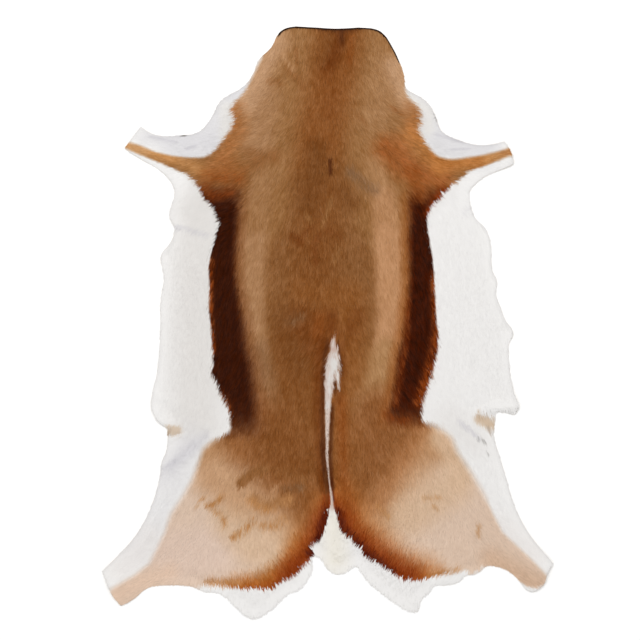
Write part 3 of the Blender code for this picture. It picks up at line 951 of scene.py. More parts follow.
    (Tone.HAUNCH_SCUFF, 12, 0.6, ((234, 537), (245, 530), (253, 521)), 0.8),
    (Tone.HAUNCH_SCUFF, 12, 0.7, ((252, 500), (259, 507), (267, 510)), 0.5),
    (Tone.HAUNCH_SCUFF, 15, 0.6, ((264, 526), (275, 525), (284, 519)), 0.7),
    (Tone.HAUNCH_SCUFF, 7, 0.45, ((424, 498), (440, 498)), 0.3),
    (Tone.HAUNCH_SCUFF, 6, 0.5, ((433, 505), (437, 509)), 0.3),
    (Tone.HAUNCH_SCUFF, 9, 0.6, ((378, 506), (388, 517)), 0.3),
    (Tone.HAUNCH_SCUFF, 7, 0.5, ((479, 525), (478, 536)), 0.3),
)
# Laid after the bands: orange-brown above them, rust on their outer edges
BAND_WASHES = table(Wash,
    (Tone.CHESTNUT, 26, 0.6, ((207, 176), (222, 177), (238, 180)), 0.3),
    (Tone.CHESTNUT, 24, 0.7, ((412, 172), (418, 186), (420, 196)), 0.4),
    (Tone.RUST, 18, 0.55, ((205, 188), (212, 197), (230, 193)), 0.4),
    (Tone.RUMP_RED, 14, 0.85, ((443, 191), (434, 203), (428, 214)), 0.3),
    (Tone.RUST, 10, 0.7, ((212, 262), (211, 285), (211, 310), (213, 352)), 0.7),
    (Tone.RUST, 12, 0.5, ((222, 395), (230, 412)), 0.6),
    (Tone.RUST, 13, 0.7, ((434, 274), (434, 300), (436, 340)), 0.6),
    (Tone.RUST, 19, 0.9, ((436, 342), (431, 366), (424, 388), (419, 402)), 0.6),
    (Tone.RUST, 10, 0.5, ((408, 300), (407, 340), (403, 360), (399, 385), (396, 405)), 0.5),
    (Tone.RUST, 12, 0.45, ((386, 414), (398, 421), (408, 420)), 0.6),
)
# Painted shade in the white coat and along its creases and folds, its bare spots, and the crest's own colours
WHITE_WASHES = table(Wash,
    (Tone.WHITE_SHADE, 80, 0.8, ((202, 210), (198, 260), (196, 420)), 0, 10),
    (Tone.WHITE_SHADE, 60, 0.4, ((450, 424), (474, 440))),
    (Tone.WHITE_GREY, 52, 0.75, ((240, 92), (222, 116), (214, 140), (180, 147)), 0, 16),
    (Tone.WHITE_GREY, 52, 0.7, ((416, 96), (430, 116), (442, 140), (480, 150)), 0, 12),
    (Tone.WHITE_GREY, 64, 0.4, ((190, 446), (164, 496), (136, 548))),
    # Grey laid along creases in this table is painted shade
    (Tone.CREASE, 30, 0.25, ((190, 446), (164, 474))),
    (Tone.WHITE_WARM, 60, 0.5, ((150, 540), (125, 568))),
    (Tone.WHITE_WARM, 50, 0.5, ((500, 530), (530, 555))),
    (Tone.WHITE_GREY, 26, 0.6, ((210, 140), (180, 143), (145, 138))),
    (Tone.WHITE_GREY, 20, 0.4, ((440, 135), (470, 148), (495, 146))),
    (Tone.CREASE, 8, 0.45, ((172, 228), (186, 229), (206, 236))),
    (Tone.CREASE, 16, 0.35, ((205, 436), (188, 452), (172, 466))),
    (Tone.CREASE, 7, 0.5, ((175, 461), (163, 470))),
    (Tone.SKIN, 15, 0.7, ((169, 431), (177, 431)), 0, 2),
    (Tone.SKIN_SHADE, 5, 0.5, ((167, 431), (169, 434))),
    (Tone.CREASE, 5, 0.6, ((186, 149), (196, 146))),
    (Tone.CREASE, 5, 0.5, ((150, 137), (175, 142))),
    (Tone.NUB, 3.5, 0.9, ((182, 135.5), (186, 135.5))),
    (Tone.CREAM, 24, 0.4, ((226, 108), (226, 135))),
    (Tone.CREAM, 22, 0.4, ((410, 97), (428, 112), (428, 130))),
    (Tone.NUB, 5, 0.8, ((436, 115), (438, 121))),
    (Tone.CREASE, 4.5, 0.5, ((437, 135), (463, 142))),
    (Tone.CREASE, 4.5, 0.5, ((450, 150), (470, 149))),
    (Tone.CREASE, 9, 0.3, ((465, 213), (482, 203))),
    (Tone.SKIN, 15, 0.85, ((479, 419), (492, 425)), 0, 3),
    (Tone.SKIN_SHADE, 4.5, 0.35, ((477, 417), (494, 418))),
    (Tone.SKIN_SHADE, 5, 0.45, ((488, 428), (491, 434))),
    (Tone.NUB, 3.5, 0.7, ((483, 441), (485, 443))),
    (Tone.NUB, 3, 0.45, ((477.5, 440), (479, 440))),
    (Tone.NUB, 3, 0.35, ((487.5, 453.5), (488.5, 454.5))),
    (Tone.CREASE, 7, 0.5, ((458, 421), (479, 438))),
    (Tone.CREAM, 46, 0.9, ((334, 520), (335, 560))),
    (Tone.CREST_WHITE, 26, 1, ((333, 350), (330, 375), (328, 400)), 0, 16),
    (Tone.CREST_ROSE, 14, 1, ((327, 412), (327, 465), (332, 502)), 0.1, 6),
    (Tone.CREST_PINK, 22, 0.7, ((334, 334), (332, 350)), 0.8),
    (Tone.CREST_PINK, 16, 0.25, ((330, 366), (328, 396)), 0.9),
    (Tone.CREST_PINK, 3.5, 0.8, ((334, 374), (333.5, 386)), 0.2),
)
# Elsewhere brown and white meet in a line that only the tufts make jagged
SOFT_EDGES = table(SoftEdge,
    (9.0, ((212, 446), (201, 459), (193, 479), (182, 498), (171, 514))),
    (7.0, ((171, 514), (165, 532), (157, 549), (150, 563), (135, 575), (114, 587))),
    (10.0, ((434, 428), (451, 440), (457, 453), (471, 473), (483, 493))),
    (5.0, ((483, 493), (493, 514), (502, 532), (516, 545), (530, 558), (543, 573))),
    (3.0, ((447, 575), (463, 572), (480, 569))),
    (5.0, ((188, 588), (205, 586), (216, 586))),
    (4.0, ((232, 428), (222, 437), (212, 443))),
    (3.0, ((512, 576), (527, 586), (545, 584))),
    (5.0, ((406, 96), (413, 103), (420, 112), (421, 122), (418, 130))),
    (4.0, ((421, 135), (432, 152), (445, 159), (467, 158), (507, 149))),
    (2.5, ((512, 156), (482, 166), (459, 177))),
    (5.0, ((262, 58), (252, 78), (241, 97), (232, 108), (233, 128))),
    (3.5, ((222, 142), (203, 157), (171, 156), (131, 144))),
    (3.0, ((125, 149), (159, 162), (190, 177))),
    (1.8, ((209, 266), (209, 306), (212, 352), (218, 390), (231, 424))),
    (1.8, ((428, 236), (434, 270), (437, 320), (438, 345), (430, 380), (422, 410))),
)


@dataclass
class Markings:
    """The springbok's markings: where the coat is brown and where white, and every tone within them.

    Attributes:
        chart: the net on which distances to the edge of the brown coat are kept.
        chance: where the mottling takes its random numbers from.
        rim_shade: how far in from the rim thin white hair is painted darker, as painted shade.
        soft_reach: how far from a soft edge's path its blur still counts in full.
        crest_blur: how far to each side of the crest's edge its white fades into the brown.
        crest_thin: how far inside its edge the back still shows through it.
        crest_ragged: how much of its upper edge is left to chance, tuft by tuft.
        crest_upper: how far along that upper edge begins.
        crest_ease: over how far it does so.
        crest_clear: how far outside the crest its thin hair ends.
        crest_blush: how much of the back shows through it there.
        band_rim: how much further in than a band's dark its rim's colour begins.
        band_rim_cover: how much of the back that colour covers.
        cloud: the width of the coat's broad patches.
        fleck: the width of its fine ones.
        cloudy: how strong the broad ones are.
        flecked: how strong the fine ones are.
        tufted: how strongly brown tufts differ.
    """

    chart: Chart
    chance: Scatter
    rim_shade: float = 7.0
    soft_reach: float = 14.0
    crest_blur: float = 1.8
    crest_thin: float = 7.0
    crest_ragged: float = 5.0
    crest_upper: float = -150.0
    crest_ease: float = 40.0
    crest_clear: float = 3.0
    crest_blush: float = 0.4
    band_rim: float = 9.0
    band_rim_cover: float = 0.8
    cloud: float = 26.0
    fleck: float = 7.0
    cloudy: float = 0.14
    flecked: float = 0.26
    tufted: float = 0.3

    def __post_init__(self) -> None:
        """Works out over the chart how deep in the brown coat each place lies, but for the crest."""
        self.brown_depth = depth_inside(self.chart.places(), from_photo(BROWN))

    def in_crest(self, places: Array) -> Array:
        """How deep in the crest of white hair each place lies, negative outside it.

        Args:
            places: across and along of each place.

        Returns:
            Half the crest's width there less the distance to its middle.
        """
        depth = np.full(len(places), -np.inf)
        for strand in (CREST, STRAY_TUFT):
            across, along = from_photo(tuple((at.column, at.row) for at in strand[::-1])).T
            half = np.interp(places[:, 1], along, [at.half * PIXEL for at in strand[::-1]])
            beyond = np.maximum(along[0] - places[:, 1], places[:, 1] - along[-1])
            here = half - np.abs(places[:, 0] - np.interp(places[:, 1], along, across))
            depth = np.maximum(depth, np.minimum(here, -beyond))
        return depth

    def in_brown(self, places: Array) -> Array:
        """How deep in the brown coat each place lies, negative where the coat is white."""
        return np.minimum(self.chart.read(self.brown_depth, places), -self.in_crest(places))

    def softness(self, places: Array) -> Array:
        """How far to each side of the brown coat's edge brown fades into white at each place."""
        blur = np.full(len(places), 0.1)
        for edge in SOFT_EDGES:
            gap = gap_to_path(places, from_photo(edge.path))
            blur = np.maximum(blur, edge.blur * smooth_step(2.0 - gap / self.soft_reach))
        return blur

    def paint(self, places: Array, grain: Array, rim_depth: Array, crest: bool = True) -> tuple[Array, Array]:
        """The coat's colour at each place, from the washes, some of them painted shade, the bands, a little
        mottling, and painted shade near the rim.

        Args:
            places: across and along of each place.
            grain: a random number from 0 to 1 that each tuft's places share.
            rim_depth: how far each place lies inside the rim.
            crest: whether the crest's hair is there too; without it the back below it shows.

        Returns:
            sRGB values of each place, and whether it is in the brown coat.
        """
        depth = self.chart.read(self.brown_depth, places)
        share = smooth_step(0.5 + depth / (2.0 * self.softness(places)))
        is_brown = depth > 0.0
        if crest:
            upper = smooth_step((places[:, 1] - self.crest_upper) / self.crest_ease)
            in_crest = self.in_crest(places) + self.crest_ragged * upper * (grain - 0.5)
            share *= 1.0 - smooth_step(0.5 + in_crest / (2.0 * self.crest_blur))
            is_brown &= in_crest <= 0.0
        brown = np.tile(Tone.BACK.colour, (len(places), 1))
        for wash in BACK_WASHES:
            wash.over(brown, places, grain)
        for band in (LEFT_BAND, RIGHT_BAND):
            rim = self.band_rim_cover * np.sqrt(band.cover(places, self.band_rim))[:, None]
            brown += rim * (band.rim.colour - brown)
            dark = band.tone.colour + grain[:, None] * (Tone.BAND_CORE.colour - band.tone.colour)
            brown += band.cover(places)[:, None] * (dark - brown)
        for wash in BAND_WASHES:
            wash.over(brown, places, grain)
        uneven = self.cloudy * self.chance.mottle(places, self.cloud)
        uneven += self.flecked * self.chance.mottle(places + 500.0, self.fleck, 2)
        lightness = brown.mean(axis=1)
        brown += (lightness * (1.0 - lightness) ** 2 * (uneven + self.tufted * (grain - 0.5)))[:, None]
        white = np.tile(Tone.WHITE.colour, (len(places), 1))
        for wash in WHITE_WASHES:
            wash.over(white, places, grain)
        # Painted shade: thin white hair is darker towards the rim; the coat's broad mottle makes it lighter
        # and darker too
        shade = 0.04 * (1.0 - smooth_step(rim_depth / self.rim_shade)) - 0.03 * uneven
        white *= (1.0 - shade + 0.01 * (grain - 0.5))[:, None]
        if crest:
            thin = smooth_step(1.0 + in_crest / self.crest_clear)
            thin *= 1.0 - smooth_step(in_crest / self.crest_thin)
            white += (self.crest_blush * thin)[:, None] * (Tone.CREST_PINK.colour - white)
        return white + share[:, None] * (brown - white), is_brown


def add_node(
    tree: bpy.types.NodeTree, kind: str, inputs: dict | None = None, **settings: str
) -> bpy.types.bpy_prop_collection:
    """Adds a node with its settings, and sets or links its inputs.

    Args:
        tree: the material's node tree.
        kind: Blender's name for the node's type, after the word ShaderNode.
        inputs: its sockets, by name or number, each with a value or with the output that feeds it.
        **settings: the node's own properties.

    Returns:
        The new node's outputs.
    """
    node = tree.nodes.new("ShaderNode" + kind)
    for name, value in settings.items():
        setattr(node, name, value)
    for name, value in (inputs or {}).items():
        if isinstance(value, bpy.types.NodeSocket):
            tree.links.new(value, node.inputs[name])
        else:
            node.inputs[name].default_value = value
    return node.outputs


def blank_material(name: str) -> tuple[bpy.types.Material, bpy.types.NodeTree]:
    """A new material with an empty node tree, and that tree."""
    material = bpy.data.materials.new(name)
    material.use_nodes = True
    material.node_tree.nodes.clear()
    return material, material.node_tree


def close_material(
    tree: bpy.types.NodeTree, colour: bpy.types.NodeSocket, bump: dict, surface: dict
) -> None:
    """Ends a material: its colour, a bump and the rest of its surface go to a shader and to the output.

    Args:
        tree: the material's node tree.
        colour: the output that gives its colour.
        bump: the bump's inputs.
        surface: the shader's other inputs.
    """
    normal = add_node(tree, "Bump", bump)["Normal"]
    shader = add_node(tree, "BsdfPrincipled", {"Base Color": colour, **surface, "Normal": normal})
    add_node(tree, "OutputMaterial", {"Surface": shader["BSDF"]})


# The names of what a mesh carries for its materials: the coat's colour on each point, the map that runs
# across and along each lock, and the flat map that an export may paint on.
COLOUR_LAYER = "coat_colour"
STRAND_MAP = "strands"
FLAT_MAP = "OFBake"


@dataclass(frozen=True)
class HairFinish:
    """Tanned antelope hair, washed and combed: matt, with a silky sheen along the strands.

    Attributes:
        name: the material's name.
        roughness: how matt it is.
        sheen: how much light it catches at a low angle.
        shine: how strong its reflections are.
        strands: how many strands a lock shows across. Real ones are 0.1 mm thick and too fine to show,
            so they are drawn three or four times as coarse.
        dark_contrast: how much lighter and darker than the coat's colour the strands of dark hair are.
        pale_contrast: the same for pale hair, whose strands shine through each other.
        relief: how strongly the strands' bump follows their contrast.
    """

    name: str
    roughness: float
    sheen: float
    shine: float
    strands: float
    dark_contrast: float
    pale_contrast: float
    relief: float = 2.5

    def build(self) -> bpy.types.Material:
        """Makes the material.

        The colour painted on the mesh is scaled by a noise that is narrow across the lock and long
        along it, the more the darker it is. The same noise raises the strands a little.

        Returns:
            The material.
        """
        material, tree = blank_material(self.name)
        coat = add_node(tree, "Attribute", attribute_name=COLOUR_LAYER)["Color"]
        lock = add_node(tree, "UVMap", uv_map=STRAND_MAP)["UV"]
        drawn = add_node(tree, "Mapping", {"Vector": lock, "Scale": (self.strands, 1.2, 1.0)})["Vector"]
        strands = {"Vector": drawn, "Scale": 1.0, "Detail": 2.0, "Roughness": 0.6}
        noise = add_node(tree, "TexNoise", strands, noise_dimensions="2D")["Fac"]
        bright = add_node(tree, "RGBToBW", {"Color": coat})["Val"]
        contrast = add_node(tree, "MapRange", {
            "Value": bright, "From Min": 0.08, "From Max": 0.5,
            "To Min": self.dark_contrast, "To Max": self.pale_contrast,
        })["Result"]
        swing = add_node(tree, "MapRange", {
            "Value": noise, "From Min": 0.3, "From Max": 0.7, "To Min": -1.0, "To Max": 1.0,
        })["Result"]
        share = add_node(tree, "Math", {0: swing, 1: contrast, 2: 1.0}, operation="MULTIPLY_ADD")["Value"]
        colour = add_node(tree, "VectorMath", {0: coat, "Scale": share}, operation="SCALE")["Vector"]
        rise = add_node(tree, "Math", {0: contrast, 1: self.relief}, operation="MULTIPLY")["Value"]
        close_material(tree, colour, {"Strength": rise, "Distance": 0.2 * MM, "Height": noise}, {
            "Roughness": self.roughness, "Sheen Weight": self.sheen, "Sheen Roughness": 0.4,
            "Specular IOR Level": self.shine,
        })
        return material


@dataclass(frozen=True)
class UnderfurFinish:
    """The dense woolly underfur between the locks: quite matt, in the coat's colour and a little darker as
    painted shade.

    Attributes:
        name: the material's name.
        curl: the width of a curl of wool. Real ones are 0.3 mm; drawn to show.
        contrast: how much lighter and darker the curls are.
    """

    name: str = "springbok_underfur"
    curl: float = 1.1
    contrast: float = 0.07

    def build(self) -> bpy.types.Material:
        """Makes the material: the painted colour scaled by a noise of curls, which is its bump too."""
        material, tree = blank_material(self.name)
        coat = add_node(tree, "Attribute", attribute_name=COLOUR_LAYER)["Color"]
        place = add_node(tree, "TexCoord")["Object"]
        curls = {"Vector": place, "Scale": 1.0 / (self.curl * MM), "Detail": 3.0}
        noise = add_node(tree, "TexNoise", curls)["Fac"]
        share = add_node(tree, "MapRange", {
            "Value": noise, "From Min": 0.3, "From Max": 0.7,
            "To Min": 1.0 - self.contrast, "To Max": 1.0 + self.contrast,
        })["Result"]
        colour = add_node(tree, "VectorMath", {0: coat, "Scale": share}, operation="SCALE")["Vector"]
        close_material(
            tree, colour, {"Strength": 0.6, "Distance": 0.5 * MM, "Height": noise},
            {"Roughness": 0.95, "Specular IOR Level": 0.03},
        )
        return material


@dataclass(frozen=True)
class SuedeFinish:
    """The flesh side of tanned leather, shaved and buffed: pale, dry and velvety, with faint clouds.

    Attributes:
        name: the material's name.
        light: its colour where it is buffed clean.
        dark: its colour in the clouds, where tanning liquor gathered.
        cloud: the width of a cloud.
        nap: the width of the buffed nap's grain. Real nap is 0.2 mm; drawn to show.
    """

    name: str = "tanned_flesh_side_suede"
    light: str = "#D9C8AF"
    dark: str = "#CDBA9D"
    cloud: float = 90.0
    nap: float = 0.9

    def build(self) -> bpy.types.Material:
        """Makes the material: two tones mixed by broad clouds and fine nap, with the nap as its bump."""
        material, tree = blank_material(self.name)
        place = add_node(tree, "TexCoord")["Object"]
        noises = (
            {"Vector": place, "Scale": 1.0 / (width * MM), "Detail": detail}
            for width, detail in ((self.cloud, 2.0), (self.nap, 3.0))
        )
        clouds, nap = (add_node(tree, "TexNoise", noise)["Fac"] for noise in noises)
        both = add_node(tree, "Math", {0: nap, 1: 0.35, 2: clouds}, operation="MULTIPLY_ADD")["Value"]
        tone = add_node(
            tree, "MapRange", {"Value": both, "From Min": 0.45, "From Max": 0.85},
            interpolation_type="SMOOTHSTEP",
        )["Result"]
        dark, light = ((*to_linear(tint), 1.0) for tint in (self.dark, self.light))
        colour = add_node(tree, "Mix", {"Factor": tone, 6: dark, 7: light}, data_type="RGBA")[2]
        close_material(
            tree, colour, {"Strength": 0.4, "Distance": 0.3 * MM, "Height": nap},
            {"Roughness": 0.88, "Sheen Weight": 0.15, "Specular IOR Level": 0.25},
        )
        return material


BACK_HAIR = HairFinish("springbok_guard_hair", 0.7, 0.0, 0.02, 5.0, dark_contrast=0.16, pale_contrast=0.015)
BELLY_HAIR = HairFinish("springbok_belly_hair", 0.8, 0.0, 0.02, 6.0, dark_contrast=0.05, pale_contrast=0.01)


def make_piece(name: str, points: Array, faces: Array, colour: Array, flat_map: Array) -> bpy.types.Object:
    """Puts points and faces into a new object at the origin.

    Args:
        name: the piece's name.
        points: across, along and height of each point.
        faces: the points of each face, all faces with equally many corners.
        colour: linear colour of each point.
        flat_map: the place on the flat map of each corner of each face, from 0 to 1.

    Returns:
        The object, linked to the scene.
    """
    corners = faces.shape[1]
    mesh = bpy.data.meshes.new(name)
    mesh.vertices.add(len(points))
    mesh.vertices.foreach_set("co", np.ascontiguousarray(points * MM, np.float32).ravel())
    mesh.loops.add(faces.size)
    mesh.loops.foreach_set("vertex_index", np.ascontiguousarray(faces, np.int32).ravel())
    mesh.polygons.add(len(faces))
    mesh.polygons.foreach_set("loop_start", np.arange(0, faces.size, corners, dtype=np.int32))
    mesh.update(calc_edges=True)
    layer = mesh.attributes.new(COLOUR_LAYER, "FLOAT_COLOR", "POINT")
    painted = np.ones((len(points), 4), np.float32)
    painted[:, :3] = colour
    layer.data.foreach_set("color", painted.ravel())
    layout = mesh.uv_layers.new(name=FLAT_MAP)
    layout.uv.foreach_set("vector", np.ascontiguousarray(flat_map, np.float32).ravel())
    piece = bpy.data.objects.new(name, mesh)
    bpy.context.scene.collection.objects.link(piece)
    return piece


@dataclass(frozen=True)
class Rib:
    """A line of the leather's grid, in two halves: how far along the middle line it starts, and on the left
    and on the right the knee that it bends towards and the place where it meets the rim.
    """

    root: float
    left_knee: Spot
    left: Spot
    right_knee: Spot
    right: Spot


# From the middle of the neck cut to the lowest tuft of the rump
RIBS = table(Rib,
    (489, (4, 520), (4, 547), (4, 520), (4, 547)),
    (470, (-45, 505), (-89, 541), (50, 505), (100, 541)),
    (352, (-120, 360), (-226, 367), (112, 360), (206, 367)),
    (318, (-225, 303), (-307, 347), (200, 318), (284, 330)),
    (308, (-285, 298), (-348, 364), (276, 310), (329, 337)),
    (300, (-290, 290), (-378, 324), (282, 302), (346, 295)),
    (285, (-220, 295), (-311, 282), (215, 284), (307, 278)),
    (250, (-150, 250), (-286, 248), (140, 250), (265, 245)),
    (-140, (-165, -145), (-329, -155), (270, -110), (355, -155)),
    (-150, (-158, -160), (-314, -176), (255, -122), (314, -166)),
    (-165, (-150, -180), (-298, -198), (155, -175), (309, -214)),
    (-252, (-220, -340), (-359, -399), (220, -320), (357, -362)),
    (-272, (-330, -420), (-420, -464), (325, -405), (420, -449)),
    (-290, (-314, -440), (-385, -528), (334, -402), (378, -502)),
    (-305, (-286, -442), (-343, -500), (320, -437), (333, -461)),
    (-325, (-215, -430), (-273, -490), (215, -420), (284, -464)),
    (-357, (-142, -428), (-141, -550), (125, -450), (169, -537)),
    (-394, (-52, -416), (-27, -434), (36, -420), (53, -452)),
    (-406, (4, -434), (4, -462), (4, -434), (4, -462)),
)


@dataclass
class HideLeather:
    """The tanned skin with its underfur: one closed sheet with the rim and the folds of the solid.

    Attributes:
        relief: its folds and thicknesses.
        markings: the coat's colours.
        middle: how far across the middle line lies.
        rim_pitch: spacing of its points along the rim.
        steps: how many faces it has from the middle line to the rim.
        edge_share: the share of those steps that is even; the rest tightens towards the rim.
        cut_line: how wide the dark line along the neck cut is.
        patch: the width of the underfur's lighter and darker patches.
        shade_under_locks: how much darker than the locks over it black underfur is painted, as their shade.
    """

    relief: Relief
    markings: Markings
    middle: float = 4.0
    rim_pitch: float = 5.5
    steps: int = 32
    edge_share: float = 0.35
    cut_line: float = 3.2
    patch: float = 9.0
    shade_under_locks: float = 0.15

    def grid(self) -> Array:
        """Lays out the sheet's rows, each from the left rim over the middle line to the right rim.

        Half a row is a curve from its root R towards its knee K and on to the rim's place E. At the
        share t of the way it is at (1-t)^2 R + 2t(1-t) K + t^2 E. Between two ribs, the root and the
        knee move evenly from one to the next, and the rim's places are evenly spaced along the rim.

        Returns:
            Across and along of each point, by row and column.
        """
        rim = self.relief.rim
        halves: list[list[Array]] = [[], []]
        for rib, after in zip(RIBS[:-1], RIBS[1:]):
            tries = (rim.walk(rib.left, after.left, 200), rim.walk(after.right, rib.right, 200))
            longest = max(np.hypot(*np.diff(stretch, axis=0).T).sum() for stretch in tries)
            count = max(2, math.ceil(longest / self.rim_pitch))
            left = rim.walk(rib.left, after.left, count)
            right = rim.walk(after.right, rib.right, count)
            right = np.vstack((right[1:], rim.loop[rim.nearest(rib.right)]))[::-1]
            share = (np.arange(count) / count)[:, None]
            root = np.hstack((np.full((count, 1), self.middle), rib.root + share * (after.root - rib.root)))
            for half, ends, knees in (
                (halves[0], left, (rib.left_knee, after.left_knee)),
                (halves[1], right, (rib.right_knee, after.right_knee)),
            ):
                knee = np.array(knees[0]) + share * (np.array(knees[1]) - np.array(knees[0]))
                half.append(np.stack((root, knee, ends), axis=1))
        last = RIBS[-1]
        foot = np.array([[(self.middle, last.root), last.left_knee, rim.loop[rim.nearest(last.left)]]])
        evenly = np.linspace(0.0, 1.0, self.steps + 1)
        t = self.edge_share * evenly + (1.0 - self.edge_share) * np.sin(evenly * math.pi / 2.0)
        t = t[None, :, None]
        curves = []
        for half in halves:
            ends = np.vstack((*half, foot))[:, :, None, :]
            curves.append((1 - t) ** 2 * ends[:, 0] + 2 * t * (1 - t) * ends[:, 1] + t**2 * ends[:, 2])
        return np.concatenate((curves[0][:, ::-1], curves[1][:, 1:]), axis=1)

    def build(self) -> bpy.types.Object:
        """Makes the sheet: its upper face, its underside and the strip of cut edge between them.

        The first and the last row run out and back along the same line, so their two halves are one.

        Returns:
            The piece.
        """
        grid = self.grid()
        rows, columns = grid.shape[:2]
        places = grid.reshape(-1, 2)
        index = np.arange(rows * columns).reshape(rows, columns)
        index[0, columns // 2 :] = index[0, : columns // 2 + 1][::-1]
        index[-1, columns // 2 :] = index[-1, : columns // 2 + 1][::-1]
        quads = np.stack((index[:-1, :-1], index[1:, :-1], index[1:, 1:], index[:-1, 1:]), axis=-1)
        top = quads.reshape(-1, 4)
        below = len(places)
        left, right = index[:, 0], index[:, -1]
        walls = np.vstack((
            np.stack((left[:-1], left[:-1] + below, left[1:] + below, left[1:]), axis=1),
            np.stack((right[:-1], right[1:], right[1:] + below, right[:-1] + below), axis=1),
        ))
        faces = np.vstack((top, top[:, ::-1] + below, walls))
        heights = (self.relief.skin(places), self.relief.leather(places))
        points = np.vstack([np.column_stack((places, height)) for height in heights])
        used, faces = np.unique(faces, return_inverse=True)
        faces = faces.reshape(-1, 4)
        points = points[used]
        colour = self.colours(points[:, :2])
        piece = make_piece("hide_leather", points, faces, colour, self.flat_map(points, faces, len(top)))
        piece.data.materials.append(UnderfurFinish().build())
        piece.data.materials.append(SuedeFinish().build())
        side = np.ones(len(faces), np.int32)
        side[: len(top)] = 0
        piece.data.polygons.foreach_set("material_index", side)
        return piece

    def colours(self, places: Array) -> Array:
        """The underfur's linear colour: the coat's, a little darker as painted shade, and a dark line along
        the neck cut.

        Args:
            places: across and along of each point.

        Returns:
            One linear colour for each point.
        """
        depth = self.relief.inside(places)
        grain = 0.5 + 0.5 * self.markings.chance.mottle(places, self.patch, 2)
        paint, _ = self.markings.paint(places, grain, depth, crest=False)
        # Painted shade: the underfur is darker than the locks that shade it, dark hair more than pale
        paint *= 1.0 - self.shade_under_locks * (1.0 - paint.mean(axis=1, keepdims=True))
        paint[self.relief.is_cut(places) & (depth < self.cut_line)] = Tone.NECK_CUT_DARK.colour
        return to_linear(paint)

    @staticmethod
    def flat_map(points: Array, faces: Array, upper: int) -> Array:
        """Lays the upper face out on the left half of a square and everything else on the right half.

        Args:
            points: across, along and height of each point.
            faces: the points of each face, those of the upper face first.
            upper: how many faces are on the upper face.

        Returns:
            The map's place of each corner of each face.
        """
        low, high = points[:, :2].min(axis=0), points[:, :2].max(axis=0)
        spread = (points[:, :2] - low) / (high - low)
        layout = spread[faces] * (0.49, 0.98) + (0.005, 0.01)
        layout[upper:, :, 0] += 0.5
        return layout


class LockForm(Enum):
    """How a lock is built up from its root: each ring's share of the way to the tip, and of its width."""

    STRAIGHT = ((0.0, 1.0),)
    CURVED = ((0.0, 0.55), (0.4, 1.0))

    def faces(self) -> Array:
        """The triangles of one lock: its root's cap, three strips between two rings, and its tip.

        Each ring has a left, a right and an upper point, in that order, and the tip comes last.

        Returns:
            The three points of each triangle.
        """
        triangles = [(0, 1, 2)]
        for ring in range(len(self.value) - 1):
            a, b, c, d, e, f = range(3 * ring, 3 * ring + 6)
            triangles += [(b, e, f), (b, f, c), (a, c, f), (a, f, d), (a, d, e), (a, e, b)]
        a, b, c, tip = range(3 * len(self.value) - 3, 3 * len(self.value) + 1)
        triangles += [(b, tip, c), (a, c, tip), (a, tip, b)]
        return np.array(triangles)


